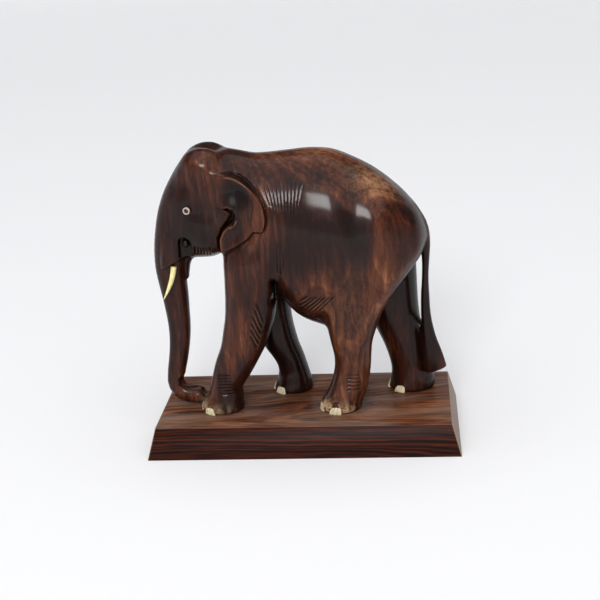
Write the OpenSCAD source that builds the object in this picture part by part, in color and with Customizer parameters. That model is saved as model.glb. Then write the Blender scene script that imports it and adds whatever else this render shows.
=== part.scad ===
// Carved walking elephant on a bevelled plinth, in millimetres.
// +Z is up, the animal faces -X and its left side is on the -Y side.
// The origin is the middle of the plinth's underside.
//
// The animal is one block of wood. Each limb is a table of cross-sections, and a smooth
// curve through the rows fills in the sections between them. All the tables are drawn for
// an animal 172 mm tall, measured up from its soles and sideways from its middle plane.

/* [Animal] */
// Height of the animal from its soles to the crown of its head
figure_h = 172; // [150:1:180]
// Distance of the animal's middle plane from the plinth's, towards its right
figure_y = 3; // [0:0.5:5]

/* [Plinth] */
// Length of the plinth at its foot
plinth_l = 200; // [200:1:260]
// Width of the plinth at its foot
plinth_w = 98; // [98:1:140]
// Thickness of the plinth
plinth_h = 20; // [16:1:26]
// How far each bevelled side leans in between the foot and the top
plinth_lean = 5.5; // [0:0.5:6]

/* [Inlays] */
// Length of wood that the tusk's peg goes into
tusk_peg = 5; // [3:0.5:6]
// Outer diameter of the bone ring round each eye
eye_d = 5; // [4:0.1:5.6]
// Diameter of the pupil inside the ring
pupil_d = 2.9; // [2:0.1:3]
// Width of a toenail inlay
nail_w = 5; // [4:0.1:5.6]
// How far the inlays stand out of the wood
proud = 0.4; // [0.2:0.1:0.6]

/* [Fixing screws] */
// Thread diameter of the wood screw under each foot
screw_d = 3.5; // [3:0.1:4]
// Length of the screw, head included
screw_l = 32; // [28:1:34]

/* [Hidden] */

LEFT = -1;
RIGHT = 1;
size = figure_h / 172;       // the animal's scale against its tables
sliver = 0.02;               // thickness of a face that a hull starts from
gap = 0.1;                   // glue line round an inlay
around = 28;                 // points round the body, head and legs
around_thin = 16;            // points round the trunk, tail and tusks

// Trunk of the body. Each row: x, y, height, half width, half height
body_rows = [
    [-58, 0, 138, 15, 22],
    [-46, 0, 137, 20, 29],
    [-34, 0, 134, 25, 32.5],
    [-20, 0, 126, 29, 40.5],
    [-5, 0, 115.5, 32.5, 52],
    [10, 0, 111.5, 35.5, 57],
    [24, 0, 109.5, 37, 57.5],
    [38, 0, 109.5, 36.5, 51.5],
    [50, 0, 111, 35, 43],
    [60, 0, 111.5, 32, 34.5],
    [70, 0, 112, 27, 24],
    [78, 0, 112, 19, 13],
    [82, 0, 111.5, 8, 5]
];

// Skull and jaw. Each row: height, x, y, half length, half width
skull_rows = [
    [101, -62, 0, 9, 6],
    [104, -61.5, 0, 13, 11],
    [110, -60.5, 0, 16.5, 15.5],
    [120, -59.5, 0, 20, 19],
    [130, -58, 0, 21.5, 21],
    [140, -57, 0, 21.5, 22],
    [150, -56, 0, 19, 21.5],
    [160, -55, 0, 16, 19.5],
    [167, -54, 0, 11, 15.5]
];

// One of the two domes on the crown: its middle and its half sizes
dome_at = [-56, 12, 157.5];
dome_half = [15, 12.5, 14];

// Forehead and trunk, a path in the middle plane. Each row: x, y, height, half depth, half width
trunk_rows = [
    [-61, 0, 161, 9.5, 12],
    [-65.5, 0, 153, 12, 13],
    [-71, 0, 143, 13.3, 14],
    [-76.2, 0, 131, 13.3, 13.5],
    [-80, 0, 118, 12.2, 12.5],
    [-82.8, 0, 105, 11.2, 11],
    [-84, 0, 94, 10.2, 9.5],
    [-83.8, 0, 84, 9.2, 8.8],
    [-83, 0, 75, 8.6, 8],
    [-82.4, 0, 64, 7.8, 7.4],
    [-82.1, 0, 52, 7.2, 6.8],
    [-82.9, -0.5, 41, 6.7, 6.3],
    [-84.6, -1, 30.5, 6.3, 6],
    [-86.6, -1.7, 20.5, 5.9, 5.8],
    [-86.8, -2.5, 13, 5.8, 5.8],
    [-83.6, -3, 8, 5.7, 6],
    [-78, -3.5, 5.8, 5.6, 6.4],
    [-72.5, -4, 5.5, 5.4, 7]
];

// Cheek that each tusk grows out of. Each row: height, x, y, half length, half width
cheek_rows = [
    [94.5, -79.6, 12.8, 2.8, 2.7],
    [101, -78.6, 11.2, 4.2, 4],
    [110, -77, 8.5, 5, 5]
];

// Legs. Each row: height, x, y, half length, half width
front_left_rows = [
    [0, -54.2, -15, 14.1, 14],
    [5, -54, -15, 13.4, 13.4],
    [10, -52, -15, 11.6, 11.8],
    [15, -51.3, -15, 10.9, 11],
    [24, -47.3, -15, 12.5, 11.5],
    [32, -43.8, -15, 13.7, 12.3],
    [44, -38.2, -15, 14.7, 13.2],
    [55, -34.8, -15.5, 15.6, 14],
    [64, -32.4, -16, 16.2, 15],
    [75, -31, -16.5, 16.5, 15.5],
    [90, -29.5, -16, 17.5, 16.5],
    [105, -28, -15, 18.5, 16.5],
    [120, -26, -12, 17, 15],
    [132, -25, -9, 12, 12]
];
front_right_rows = [
    [0, -10.5, 17, 13.5, 13.5],
    [6.5, -9.8, 17, 12, 12.3],
    [14, -9.8, 17, 10.2, 10.8],
    [20, -11.3, 17, 10.1, 10.8],
    [25, -13.4, 17, 10.8, 11.2],
    [32, -16.8, 17, 11.8, 12],
    [40, -18.6, 17, 11.6, 12.8],
    [50, -21, 17, 12.2, 13.5],
    [60, -23, 17, 13.5, 14.5],
    [75, -25, 16.5, 15.5, 15.5],
    [90, -27, 16, 17, 16.5],
    [105, -27, 15, 18, 16.5],
    [120, -26, 12, 17, 15],
    [132, -25, 9, 12, 12]
];
hind_left_rows = [
    [0, 23.5, -17, 13.6, 13.6],
    [5, 24.3, -17, 13.4, 13.3],
    [11, 27.5, -17, 12.8, 12.6],
    [20, 30.4, -17, 12.1, 11.8],
    [30, 32.3, -17, 11.7, 12],
    [37, 32.5, -17, 12, 12.8],
    [46, 32.2, -17, 13.4, 14],
    [55, 32.8, -17, 15.6, 15.4],
    [64, 34, -17, 17.8, 16.6],
    [75, 37, -17, 20.5, 17.5],
    [87, 42, -16.5, 23.5, 18.5],
    [100, 47, -15, 24.5, 19],
    [115, 49, -12, 22, 18],
    [128, 48, -9, 16, 14]
];
hind_right_rows = [
    [0, 69.3, 17, 15.6, 14],
    [8, 70.4, 17, 14.3, 13],
    [15, 69.8, 17, 13.5, 12.3],
    [23.5, 68, 17, 13.5, 12.2],
    [32, 65.7, 17, 14, 12.6],
    [42, 62.4, 17, 15, 13.6],
    [50, 60.2, 17, 16, 14.8],
    [60, 57.6, 17, 17.7, 16],
    [70, 55.3, 17, 19.6, 17],
    [80, 53.2, 17, 21.5, 18],
    [91, 51, 16.5, 23.6, 18.6],
    [102, 50, 15, 24.5, 19],
    [115, 49, 12, 22, 18],
    [128, 48, 9, 16, 14]
];
legs = [front_left_rows, front_right_rows, hind_left_rows, hind_right_rows];

// Tail. Each row: x, y, height, half depth, half width
tail_rows = [
    [72, 0, 126, 5, 5],
    [77.5, 0, 118, 4.3, 5],
    [80.3, 0, 108, 3.4, 4.4],
    [80.6, 0.2, 98, 2.7, 3.6],
    [80.4, 0.5, 90, 2.2, 3],
    [80, 1, 80, 2.2, 2.8],
    [79.8, 1.5, 70, 2.7, 3],
    [79.9, 2, 58, 3.1, 3.2],
    [80.8, 2.5, 47, 3.8, 3.4],
    [82.2, 3, 37, 4.9, 3.6],
    [84, 3.2, 28, 6.2, 3.6],
    [85.3, 3.3, 19.5, 7.3, 3.4]
];

// Outline of the left ear seen from its side: x and height
ear_outline = [
    [-46, 157],
    [-40, 158.5],
    [-32.5, 155.5],
    [-26.5, 150.5],
    [-22, 144],
    [-19, 136],
    [-17.5, 129.5],
    [-19, 124],
    [-25, 127],
    [-27.5, 121.5],
    [-32, 117],
    [-39, 113],
    [-45.5, 110],
    [-47.5, 117],
    [-44, 128],
    [-48, 145]
];
ear_hinge = [-47, 24.5];     // x and distance from the middle plane of the ear's front edge
ear_flare = 11;              // degrees that the ear swings out towards its back
ear_t = 8;                   // thickness of the ear where it meets the neck

eye_at = [-66, 135.5];       // x and height of the eyes
eye_turn = 12;               // degrees that the eyes look forward of sideways
eye_y = 21.3;                // distance of the cheek's surface from the middle plane there
eye_sink = 1.5;              // depth of the eye's pocket

tusk_root = [-79.6, 13, 94.5];
tusk_bend = [-81.5, 13.5, 86];
tusk_tip = [-87.3, 15, 77.5];
tusk_r = [1.5, 1.45, 0.4];   // radius at the root, the bend and the tip

nail_z = 2.2;                // height of a toenail's middle above the sole
nail_sink = 2;               // depth of a toenail's pocket
nail_fan = 60;               // degrees from one toenail to the next
foot_turn = [-5, -10, 15, -5]; // degrees that each foot turns towards the left

screw_head_d = 2 * screw_d;
screw_head_h = 3;
screw_recess = 1;            // how far the head sits inside the underside
screw_slip = 0.15;           // clearance round the screw in the plinth
thread_bite = 0.3;           // depth that the thread bites into the foot
pilot_l = screw_l - (plinth_h - screw_recess) + 1;

// A smooth curve through the rows of a table, at row number t (a fraction falls between rows)
function row_at(rows, t) =
    let (
        last = len(rows) - 1,
        i = min(floor(t), last - 1),
        f = t - i,
        a = rows[max(i - 1, 0)],
        b = rows[i],
        c = rows[i + 1],
        d = rows[min(i + 2, last)]
    )
    b + 0.5 * f * ((c - a) + f * (2 * a - 5 * b + 4 * c - d + f * (3 * (b - c) + d - a)));

function filled(rows, steps) = [for (t = [0:1 / steps:len(rows) - 1]) row_at(rows, t)];

// Points of one rounded cross-section. A squareness of 2 is an ellipse
function section(half_u, half_v, squareness, sides) = [
    for (k = [0:sides - 1])
        let (c = cos(360 * k / sides), s = sin(360 * k / sides), power = 2 / squareness)
        [half_u * sign(c) * pow(abs(c), power), half_v * sign(s) * pow(abs(s), power)]
];

// A closed skin over a list of rings of points, each ring turning left-handed to the next
module skin(rings) {
    n = len(rings[0]);
    last = len(rings) - 1;
    polyhedron(
        points = [for (ring = rings) each ring],
        faces = concat(
            [[for (k = [0:n - 1]) k]],
            [[for (k = [n - 1:-1:0]) last * n + k]],
            [
                for (i = [0:last - 1], k = [0:n - 1])
                    let (a = i * n + k, b = i * n + (k + 1) % n)
                    each [[a, a + n, b + n], [a, b + n, b]]
            ]
        )
    );
}

// A limb whose sections are level, from rows of height, x, y, half length, half width
module upright(rows, squareness = 2.1, sides = around, steps = 2) {
    skin([
        for (r = filled(rows, steps))
            [for (p = section(r[3], r[4], squareness, sides)) [r[1] + p[0], r[2] + p[1], r[0]]]
    ]);
}

// A limb that lies along X, from rows of x, y, height, half width, half height
module lengthwise(rows, squareness = 2.15, sides = around, steps = 2) {
    skin([
        for (r = filled(rows, steps))
            [for (p = section(r[3], r[4], squareness, sides)) [r[0], r[1] + p[0], r[2] + p[1]]]
    ]);
}

// A limb along a path in the middle plane, from rows of x, y, height, half depth, half width
module along_path(rows, sides = around_thin, steps = 2) {
    q = filled(rows, steps);
    last = len(q) - 1;
    skin([
        for (j = [0:last])
            let (
                r = q[j],
                step = q[min(j + 1, last)] - q[max(j - 1, 0)],
                way = [step[0], step[2]] / norm([step[0], step[2]])
            )
            [
                for (p = section(r[3], r[4], 2, sides))
                    [r[0] + p[0] * way[1], r[1] + p[1], r[2] - p[0] * way[0]]
            ]
    ]);
}

// Places its children in the animal's own tables' frame
module on_plinth() {
    translate([0, figure_y, plinth_h])
        scale(size)
            children();
}

// A cylinder whose axis looks out of the cheek at an eye, starting depth below its surface
module at_eye(side, depth) {
    translate([eye_at[0], side * eye_y, eye_at[1]])
        rotate([0, 0, side == LEFT ? -eye_turn : 180 + eye_turn])
            rotate([90, 0, 0])
                translate([0, 0, -depth])
                    children();
}

// Places a toenail's plug: its axis points out of foot n at one of the three toes (-1, 0, 1)
function foot(n) = legs[n][0];
function foot_radius(n, a) = 1 / norm([cos(a) / foot(n)[3], sin(a) / foot(n)[4]]);
module at_toe(n, toe) {
    a = 180 + foot_turn[n] + toe * nail_fan;
    translate([foot(n)[1], foot(n)[2], nail_z])
        rotate([0, 0, a])
            translate([foot_radius(n, a) - nail_sink, 0, 0])
                rotate([0, 90, 0])
                    children();
}

// A toenail: an arched plug that reaches down to the sole
module nail_plug(n, toe, grow, length) {
    at_toe(n, toe)
        hull() {
            cylinder(d = nail_w + 2 * grow, h = length, $fn = 32);
            translate([0, -nail_w / 2 - grow, 0])
                cube([nail_z + (grow > 0 ? 1 : -0.1), nail_w + 2 * grow, length]);
        }
}

// The socket for a tusk's peg opens in the flat underside of its cheek
module tusk_socket(side) {
    translate([tusk_root[0], side * tusk_root[1], tusk_root[2] - 1])
        cylinder(r = tusk_r[0] + gap, h = tusk_peg + 1, $fn = 24);
}

module ear(side) {
    translate([ear_hinge[0], side * ear_hinge[1], 0])
        rotate([0, 0, side * ear_flare])
            translate([-ear_hinge[0], side == LEFT ? ear_t : 0, 0])
                rotate([90, 0, 0])
                    linear_extrude(ear_t)
                        polygon(ear_outline);
}

module carved_elephant() {
    color("#4a2a1c")
        on_plinth()
            difference() {
                union() {
                    lengthwise(body_rows);
                    upright(skull_rows, 2.6);
                    along_path(trunk_rows);
                    along_path(tail_rows, 12, 1);
                    for (rows = legs)
                        upright(rows, sides = 24);
                    for (side = [LEFT, RIGHT]) {
                        translate([dome_at[0], side * dome_at[1], dome_at[2]])
                            scale(dome_half)
                                sphere(1, $fn = 28);
                        upright([for (r = cheek_rows) [r[0], r[1], side * r[2], r[3], r[4]]], 2, 16);
                        ear(side);
                    }
                }
                // flat soles
                translate([0, 0, -10])
                    cube([300, 200, 20], center = true);
                for (side = [LEFT, RIGHT]) {
                    tusk_socket(side);
                    at_eye(side, eye_sink)
                        cylinder(d = eye_d + 2 * gap, h = 10, $fn = 32);
                }
                for (n = [0:3]) {
                    for (toe = [-1, 0, 1])
                        nail_plug(n, toe, gap, 10);
                    translate([foot(n)[1], foot(n)[2], -1])
                        cylinder(r = (screw_d / 2 - thread_bite) / size, h = pilot_l / size + 1, $fn = 24);
                }
            }
}

// The tusk bends from its tip up to its root, and a straight peg goes on into the cheek
module tusk(side) {
    pull = 2 * tusk_bend - (tusk_root + tusk_tip) / 2;
    steps = 8;
    curve = [
        for (t = [1:-1 / steps:0])
            let (
                p = pow(1 - t, 2) * tusk_root + 2 * t * (1 - t) * pull + t * t * tusk_tip,
                r = lookup(t, [[0, tusk_r[0]], [0.5, tusk_r[1]], [1, tusk_r[2]]])
            )
            [p[2], p[0], side * p[1], r, r]
    ];
    peg = [tusk_root[2] + tusk_peg, tusk_root[0], side * tusk_root[1], tusk_r[0], tusk_r[0]];
    color("#e3d59a")
        on_plinth()
            upright(concat(curve, [peg]), 2, around_thin, 1);
}

module eye_ring(side) {
    color("#a8958b")
        on_plinth()
            at_eye(side, eye_sink)
                difference() {
                    cylinder(d = eye_d, h = eye_sink + proud, $fn = 48);
                    translate([0, 0, -1])
                        cylinder(d = pupil_d + gap, h = eye_sink + proud + 2, $fn = 48);
                }
}

// The pupil is a short peg with a low domed head
module eye_pupil(side) {
    dome_h = 0.5;
    dome_r = (pow(pupil_d / 2, 2) + pow(dome_h, 2)) / (2 * dome_h);
    color("#140c0a")
        on_plinth()
            at_eye(side, eye_sink)
                intersection() {
                    cylinder(d = pupil_d, h = eye_sink + proud, $fn = 48);
                    translate([0, 0, eye_sink + proud - dome_r])
                        sphere(dome_r, $fn = 64);
                }
}

module nail(n, toe) {
    color("#cbbd9c")
        on_plinth()
            nail_plug(n, toe, 0, nail_sink + proud);
}

// A countersunk wood screw, driven up through the plinth into foot n
module at_screw(n) {
    translate([foot(n)[1] * size, foot(n)[2] * size + figure_y, screw_recess])
        children();
}

module screw(n) {
    tip_l = 6;
    shank_l = screw_l - tip_l;
    slot_w = 0.9;
    color("#b8934a")
        at_screw(n)
            difference() {
                union() {
                    cylinder(r1 = screw_head_d / 2, r2 = screw_d / 2, h = screw_head_h, $fn = 48);
                    cylinder(d = screw_d, h = shank_l, $fn = 48);
                    translate([0, 0, shank_l])
                        cylinder(r1 = screw_d / 2, r2 = 0.4, h = tip_l, $fn = 48);
                }
                for (turn = [0, 90])
                    rotate([0, 0, turn])
                        cube([screw_head_d * 0.6, slot_w, 3], center = true);
            }
}

module plinth() {
    top_l = plinth_l - 2 * plinth_lean;
    top_w = plinth_w - 2 * plinth_lean;
    slip_r = screw_d / 2 + screw_slip;
    sink_r = screw_head_d / 2 + screw_slip;
    color("#5a3020")
        difference() {
            hull() {
                translate([-plinth_l / 2, -plinth_w / 2, 0])
                    cube([plinth_l, plinth_w, sliver]);
                translate([-top_l / 2, -top_w / 2, plinth_h - sliver])
                    cube([top_l, top_w, sliver]);
            }
            for (n = [0:3])
                at_screw(n) {
                    translate([0, 0, -2])
                        cylinder(r = slip_r, h = plinth_h + 2, $fn = 48);
                    cylinder(r1 = sink_r, r2 = slip_r, h = screw_head_h, $fn = 48);
                    translate([0, 0, -2])
                        cylinder(r = sink_r, h = 2, $fn = 48);
                }
        }
}

plinth();
carved_elephant();
tusk(LEFT);  // tusk_left
tusk(RIGHT);  // tusk_right
eye_ring(LEFT);  // eye_ring_left
eye_ring(RIGHT);  // eye_ring_right
eye_pupil(LEFT);  // eye_pupil_left
eye_pupil(RIGHT);  // eye_pupil_right
nail(0, 1);  // nail_front_left_outer
nail(0, 0);  // nail_front_left_centre
nail(0, -1);  // nail_front_left_inner
nail(1, -1);  // nail_front_right_outer
nail(1, 0);  // nail_front_right_centre
nail(1, 1);  // nail_front_right_inner
nail(2, 1);  // nail_hind_left_outer
nail(2, 0);  // nail_hind_left_centre
nail(2, -1);  // nail_hind_left_inner
nail(3, -1);  // nail_hind_right_outer
nail(3, 0);  // nail_hind_right_centre
nail(3, 1);  // nail_hind_right_inner
screw(0);  // screw_front_left
screw(1);  // screw_front_right
screw(2);  // screw_hind_left
screw(3);  // screw_hind_right
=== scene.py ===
# %% [markdown]
# # A carved walking elephant on its plinth
#
# The real object is one block of dark rosewood, carved into a walking Asian elephant, oiled and
# waxed to a gloss, and screwed down on a bevelled rosewood plinth. Small inlays are let into the
# carving: two tusks, two eye rings with dark pupils, and three nails on each foot.
#
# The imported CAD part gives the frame. Every piece below goes where that frame says.

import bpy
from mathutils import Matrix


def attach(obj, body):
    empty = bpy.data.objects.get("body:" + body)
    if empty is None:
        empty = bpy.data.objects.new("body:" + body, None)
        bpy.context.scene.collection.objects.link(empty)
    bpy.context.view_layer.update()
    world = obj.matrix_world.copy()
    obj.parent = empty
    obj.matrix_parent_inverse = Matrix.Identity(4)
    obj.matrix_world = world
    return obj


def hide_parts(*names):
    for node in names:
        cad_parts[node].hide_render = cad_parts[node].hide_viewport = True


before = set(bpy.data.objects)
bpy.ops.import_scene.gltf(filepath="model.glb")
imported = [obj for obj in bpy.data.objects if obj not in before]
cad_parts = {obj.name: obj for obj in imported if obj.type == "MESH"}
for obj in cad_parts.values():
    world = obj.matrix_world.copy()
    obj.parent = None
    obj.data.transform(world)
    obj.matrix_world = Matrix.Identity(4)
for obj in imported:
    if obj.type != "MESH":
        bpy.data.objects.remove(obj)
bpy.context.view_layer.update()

# %% Tools and sizes
import math

import bmesh
import bpy
import numpy as np
from mathutils import Matrix, Vector

MM = 0.001
# The animal's middle plane is this far to its right of the plinth's, and its soles this high.
FIGURE_Y = 3.0
PLINTH_H = 20.0
SIDES = {"left": -1.0, "right": 1.0}


def on_plinth(points):
    """Metres in the frame = (the animal's own millimetres + [0, FIGURE_Y, PLINTH_H]) * 0.001."""
    return (np.asarray(points, float) + [0.0, FIGURE_Y, PLINTH_H]) * MM


# %% [markdown]
# ## Camera and studio
#
# The camera looks slightly down on the animal's left side, from a little right of square, and
# leans a few degrees. Its axes are worked out from three angles, so that each can be read.

# %% Camera
CAMERA_AT = (0.0731, -0.7333, 0.3375)
TURN = math.radians(-5.77)
TIP = math.radians(18.59)
LEAN = math.radians(-3.32)

forward = Vector((math.sin(TURN) * math.cos(TIP), math.cos(TURN) * math.cos(TIP), -math.sin(TIP)))
level = Vector((math.cos(TURN), -math.sin(TURN), 0.0))
rise = level.cross(forward)
across = math.cos(LEAN) * level + math.sin(LEAN) * rise
upward = -math.sin(LEAN) * level + math.cos(LEAN) * rise

camera_data = bpy.data.cameras.new("camera")
camera_data.lens = 72.0
camera_data.sensor_width = 36.0
camera = bpy.data.objects.new("camera", camera_data)
bpy.context.scene.collection.objects.link(camera)
axes = Matrix((across, upward, -forward)).transposed().to_4x4()
camera.matrix_world = Matrix.Translation(CAMERA_AT) @ axes
bpy.context.scene.camera = camera
print("camera looks along", [round(value, 3) for value in forward])

# %% [markdown]
# A mesh made from whole arrays needs one helper: it takes points in metres and faces that all
# have the same number of corners, and hands them to Blender in two calls.


# %% Mesh from arrays
def mesh_piece(name, points, faces, smooth=True):
    """Points is an (n, 3) array in metres; faces is an (m, k) array of point numbers."""
    faces = np.asarray(faces, np.int32)
    mesh = bpy.data.meshes.new(name)
    mesh.vertices.add(len(points))
    mesh.vertices.foreach_set("co", np.asarray(points, np.float32).ravel())
    mesh.loops.add(faces.size)
    mesh.loops.foreach_set("vertex_index", faces.ravel())
    mesh.polygons.add(len(faces))
    mesh.polygons.foreach_set("loop_start", np.arange(0, faces.size, faces.shape[1], dtype=np.int32))
    mesh.update(calc_edges=True)
    mesh.polygons.foreach_set("use_smooth", np.full(len(faces), smooth))
    mesh.validate()
    piece = bpy.data.objects.new(name, mesh)
    bpy.context.scene.collection.objects.link(piece)
    return piece


def grid_faces(rows, columns, closed=True):
    """Quads of a grid of points. The last column joins the first when closed."""
    row, column = np.meshgrid(np.arange(rows - 1), np.arange(columns - (not closed)), indexing="ij")
    onward = (column + 1) % columns
    corners = [row * columns + column, row * columns + onward]
    corners += [(row + 1) * columns + onward, (row + 1) * columns + column]
    return np.stack([corner.ravel() for corner in corners], 1)


# %% [markdown]
# A shader tree is easier to read when each node is one line: its kind, its settings and what is
# plugged into it.


# %% Colour and shader helpers
def paint(hex_colour):
    """Linear RGBA of an sRGB hex colour: ((c + 0.055) / 1.055) ^ 2.4, or c / 12.92 when dark."""
    levels = [int(hex_colour[i : i + 2], 16) / 255 for i in (1, 3, 5)]
    linear = [c / 12.92 if c <= 0.04045 else ((c + 0.055) / 1.055) ** 2.4 for c in levels]
    return (*linear, 1.0)


def shader(name):
    """A new material with an empty node tree."""
    material = bpy.data.materials.new(name)
    material.use_nodes = True
    material.node_tree.nodes.clear()
    return material


def add_node(material, kind, settings=None, **inputs):
    """Adds one node. An input is a value or another node's output socket."""
    node = material.node_tree.nodes.new(kind)
    for key, value in (settings or {}).items():
        setattr(node, key, value)
    for key, value in inputs.items():
        index = int(key[1:]) if key[0] == "_" and key[1:].isdigit() else key.replace("_", " ")
        socket = node.inputs[index]
        if isinstance(value, bpy.types.NodeSocket):
            material.node_tree.links.new(value, socket)
        else:
            socket.default_value = value
    return node


def ramp_stops(ramp_node, stops):
    """Sets a colour ramp's stops from a list of (position, hex colour)."""
    stop_list = ramp_node.color_ramp.elements
    while len(stop_list) < len(stops):
        stop_list.new(0.5)
    for stop, (position, colour) in zip(stop_list, stops):
        stop.position = position
        stop.color = paint(colour)
    return ramp_node.outputs["Color"]


def finish_with(material, **inputs):
    """Ends a material: its surface with these inputs, plugged into the output. Returns it."""
    surface = add_node(material, "ShaderNodeBsdfPrincipled", **inputs)
    add_node(material, "ShaderNodeOutputMaterial", Surface=surface.outputs[0])
    return material


def per_metre(width):
    """Scale of a noise whose blotches are width mm across: 1 / (width * 0.001)."""
    return 1 / (width * MM)


# %% [markdown]
# The carving stands on one large pale sheet, which is flat for 4.5 m all round and then curves up
# 2.2 m, so that there is pale paper behind it from every side. Matt white paper has no shine of
# its own, so the eye stays on the wood.

# %% Sheet
INNER_REACH = 0.5
FLAT_REACH = 4.5
CURVE = 2.2
CURVE_ROWS = 13
SHEET_AROUND = 96

turns = np.linspace(0.0, math.pi / 2, CURVE_ROWS)
reach = np.concatenate([[INNER_REACH], FLAT_REACH + CURVE * np.sin(turns)])
height = np.concatenate([[0.0], CURVE * (1 - np.cos(turns))])
around = np.linspace(0, 2 * math.pi, SHEET_AROUND, endpoint=False)
sheet_points = np.stack(
    [
        np.outer(reach, np.cos(around)).ravel(),
        np.outer(reach, np.sin(around)).ravel(),
        np.repeat(height, SHEET_AROUND),
    ],
    1,
)
ring = np.arange(SHEET_AROUND)
middle_fan = np.stack([ring, (ring + 1) % SHEET_AROUND, np.full(SHEET_AROUND, len(sheet_points))], 1)
sheet_quads = grid_faces(len(reach), SHEET_AROUND)
sheet_faces = np.concatenate([sheet_quads[:, [2, 1, 0]], sheet_quads[:, [3, 2, 0]], middle_fan])
sheet = mesh_piece("studio_sheet", np.concatenate([sheet_points, [[0.0, 0.0, 0.0]]]), sheet_faces)
sheet_paper = shader("matt_white_paper")
sheet.data.materials.append(finish_with(sheet_paper, Base_Color=paint("#ececee"), Roughness=0.8))
print("studio sheet:", len(sheet_faces), "faces")

# %% [markdown]
# One softbox in front and above draws the sharp highlight on the flank. A very broad skylight and
# a dim, pale room fill the rest.


# %% Lights
def softbox(name, place, aim, width, height, watts):
    """A rectangular area light at place, facing aim."""
    lamp = bpy.data.lights.new(name, "AREA")
    lamp.shape = "RECTANGLE"
    lamp.size = width
    lamp.size_y = height
    lamp.energy = watts
    light = bpy.data.objects.new(name, lamp)
    bpy.context.scene.collection.objects.link(light)
    facing = (Vector(aim) - Vector(place)).to_track_quat("-Z", "Y")
    light.matrix_world = Matrix.Translation(place) @ facing.to_matrix().to_4x4()
    return light


softbox("front_softbox", (-0.3, -2.7, 1.58), (0.0, 0.0, 0.12), width=0.98, height=0.78, watts=52.0)
sky = bpy.data.lights.new("skylight", "SUN")
sky.energy = 2.45
sky.angle = math.radians(100)
skylight = bpy.data.objects.new("skylight", sky)
bpy.context.scene.collection.objects.link(skylight)
skylight.matrix_world = Matrix.Rotation(math.radians(18), 4, "X")
world = bpy.data.worlds.new("grey_room")
world.use_nodes = True
world.node_tree.nodes["Background"].inputs["Color"].default_value = paint("#e8ecf2")
world.node_tree.nodes["Background"].inputs["Strength"].default_value = 0.12
bpy.context.scene.world = world
bpy.context.scene.view_settings.view_transform = "Standard"

# %% [markdown]
# ## Carving the elephant
#
# Every limb is a table of cross-sections, much the same as in the CAD part. The real animal is
# one block of wood, and its limbs flow into each other, so joining closed skins would leave hard
# seams. Instead the wood is a field: a grid of numbers that say how far each point lies outside
# the surface, in millimetres. A smooth minimum of two fields is two limbs that flow together, and
# adding a little to the field cuts a gouge stroke. The surface is where the field is zero.

# %% Tables of cross-sections in millimetres above the soles
# x, y, height, half width, half height
body_rows = [
    (-58, 0, 138, 15, 22),
    (-46, 0, 137, 20, 29),
    (-34, 0, 134, 25, 32.5),
    (-20, 0, 126, 29, 40.5),
    (-5, 0, 115.5, 32.5, 52),
    (10, 0, 111.5, 35.5, 57),
    (24, 0, 109.5, 37, 57.5),
    (38, 0, 109.5, 36.5, 51.5),
    (50, 0, 111, 35, 43),
    (60, 0, 111.5, 32, 34.5),
    (70, 0, 112, 27, 24),
    (78, 0, 112, 19, 13),
    (82, 0, 111.5, 8, 5),
]
# height, x, y, half length, half width, for tables of level sections
skull_rows = [
    (101, -62, 0, 9, 6),
    (104, -61.5, 0, 13, 11),
    (110, -60.5, 0, 16.5, 15.5),
    (120, -59.5, 0, 20, 19),
    (130, -58, 0, 21.5, 21),
    (140, -57, 0, 21.5, 22),
    (150, -56, 0, 19, 21.5),
    (160, -55, 0, 16, 19.5),
    (167, -54, 0, 11, 15.5),
]
# x, y, height, half depth, half width, for limbs along a path
trunk_rows = [
    (-61, 0, 161, 8.2, 11),
    (-65.5, 0, 153, 10.6, 12),
    (-71, 0, 143, 12.2, 13.2),
    (-76.2, 0, 131, 12.5, 13),
    (-80, 0, 118, 12, 12.5),
    (-82.8, 0, 105, 11.1, 11),
    (-84, 0, 94, 10.2, 9.5),
    (-83.8, 0, 84, 9.2, 8.8),
    (-83, 0, 75, 8.6, 8),
    (-82.4, 0, 64, 7.8, 7.4),
    (-82.1, 0, 52, 7.2, 6.8),
    (-82.9, -0.5, 41, 6.7, 6.3),
    (-84.6, -1, 30.5, 6.3, 6),
    (-86.6, -1.7, 20.5, 5.9, 5.8),
    (-86.8, -2.5, 13, 5.8, 5.8),
    (-83.6, -3, 8, 5.7, 6),
    (-78, -3.5, 5.8, 5.6, 6.4),
    (-72.5, -4, 5.5, 5.4, 7),
]
tail_rows = [
    (72, 0, 126, 5, 5),
    (77.5, 0, 118, 4.3, 5),
    (80.3, 0, 108, 3.4, 4.4),
    (80.6, 0.2, 98, 2.7, 3.6),
    (80.4, 0.5, 90, 2.2, 3),
    (80, 1, 80, 2.2, 2.8),
    (79.8, 1.5, 70, 2.7, 3),
    (79.9, 2, 58, 3.1, 3.2),
    (80.8, 2.5, 47, 3.8, 3.4),
    (82.2, 3, 37, 4.9, 3.6),
    (84, 3.2, 28, 6.2, 3.6),
    (85.3, 3.3, 19.5, 7.3, 3.4),
]
lip_rows = [
    (-66, 0, 106, 4, 6),
    (-70.6, 0, 102.5, 3, 5),
    (-73, 0, 97, 2.2, 4.6),
    (-73.6, 0, 92, 1.6, 4),
    (-74, 0, 87, 1.2, 3),
]

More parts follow.
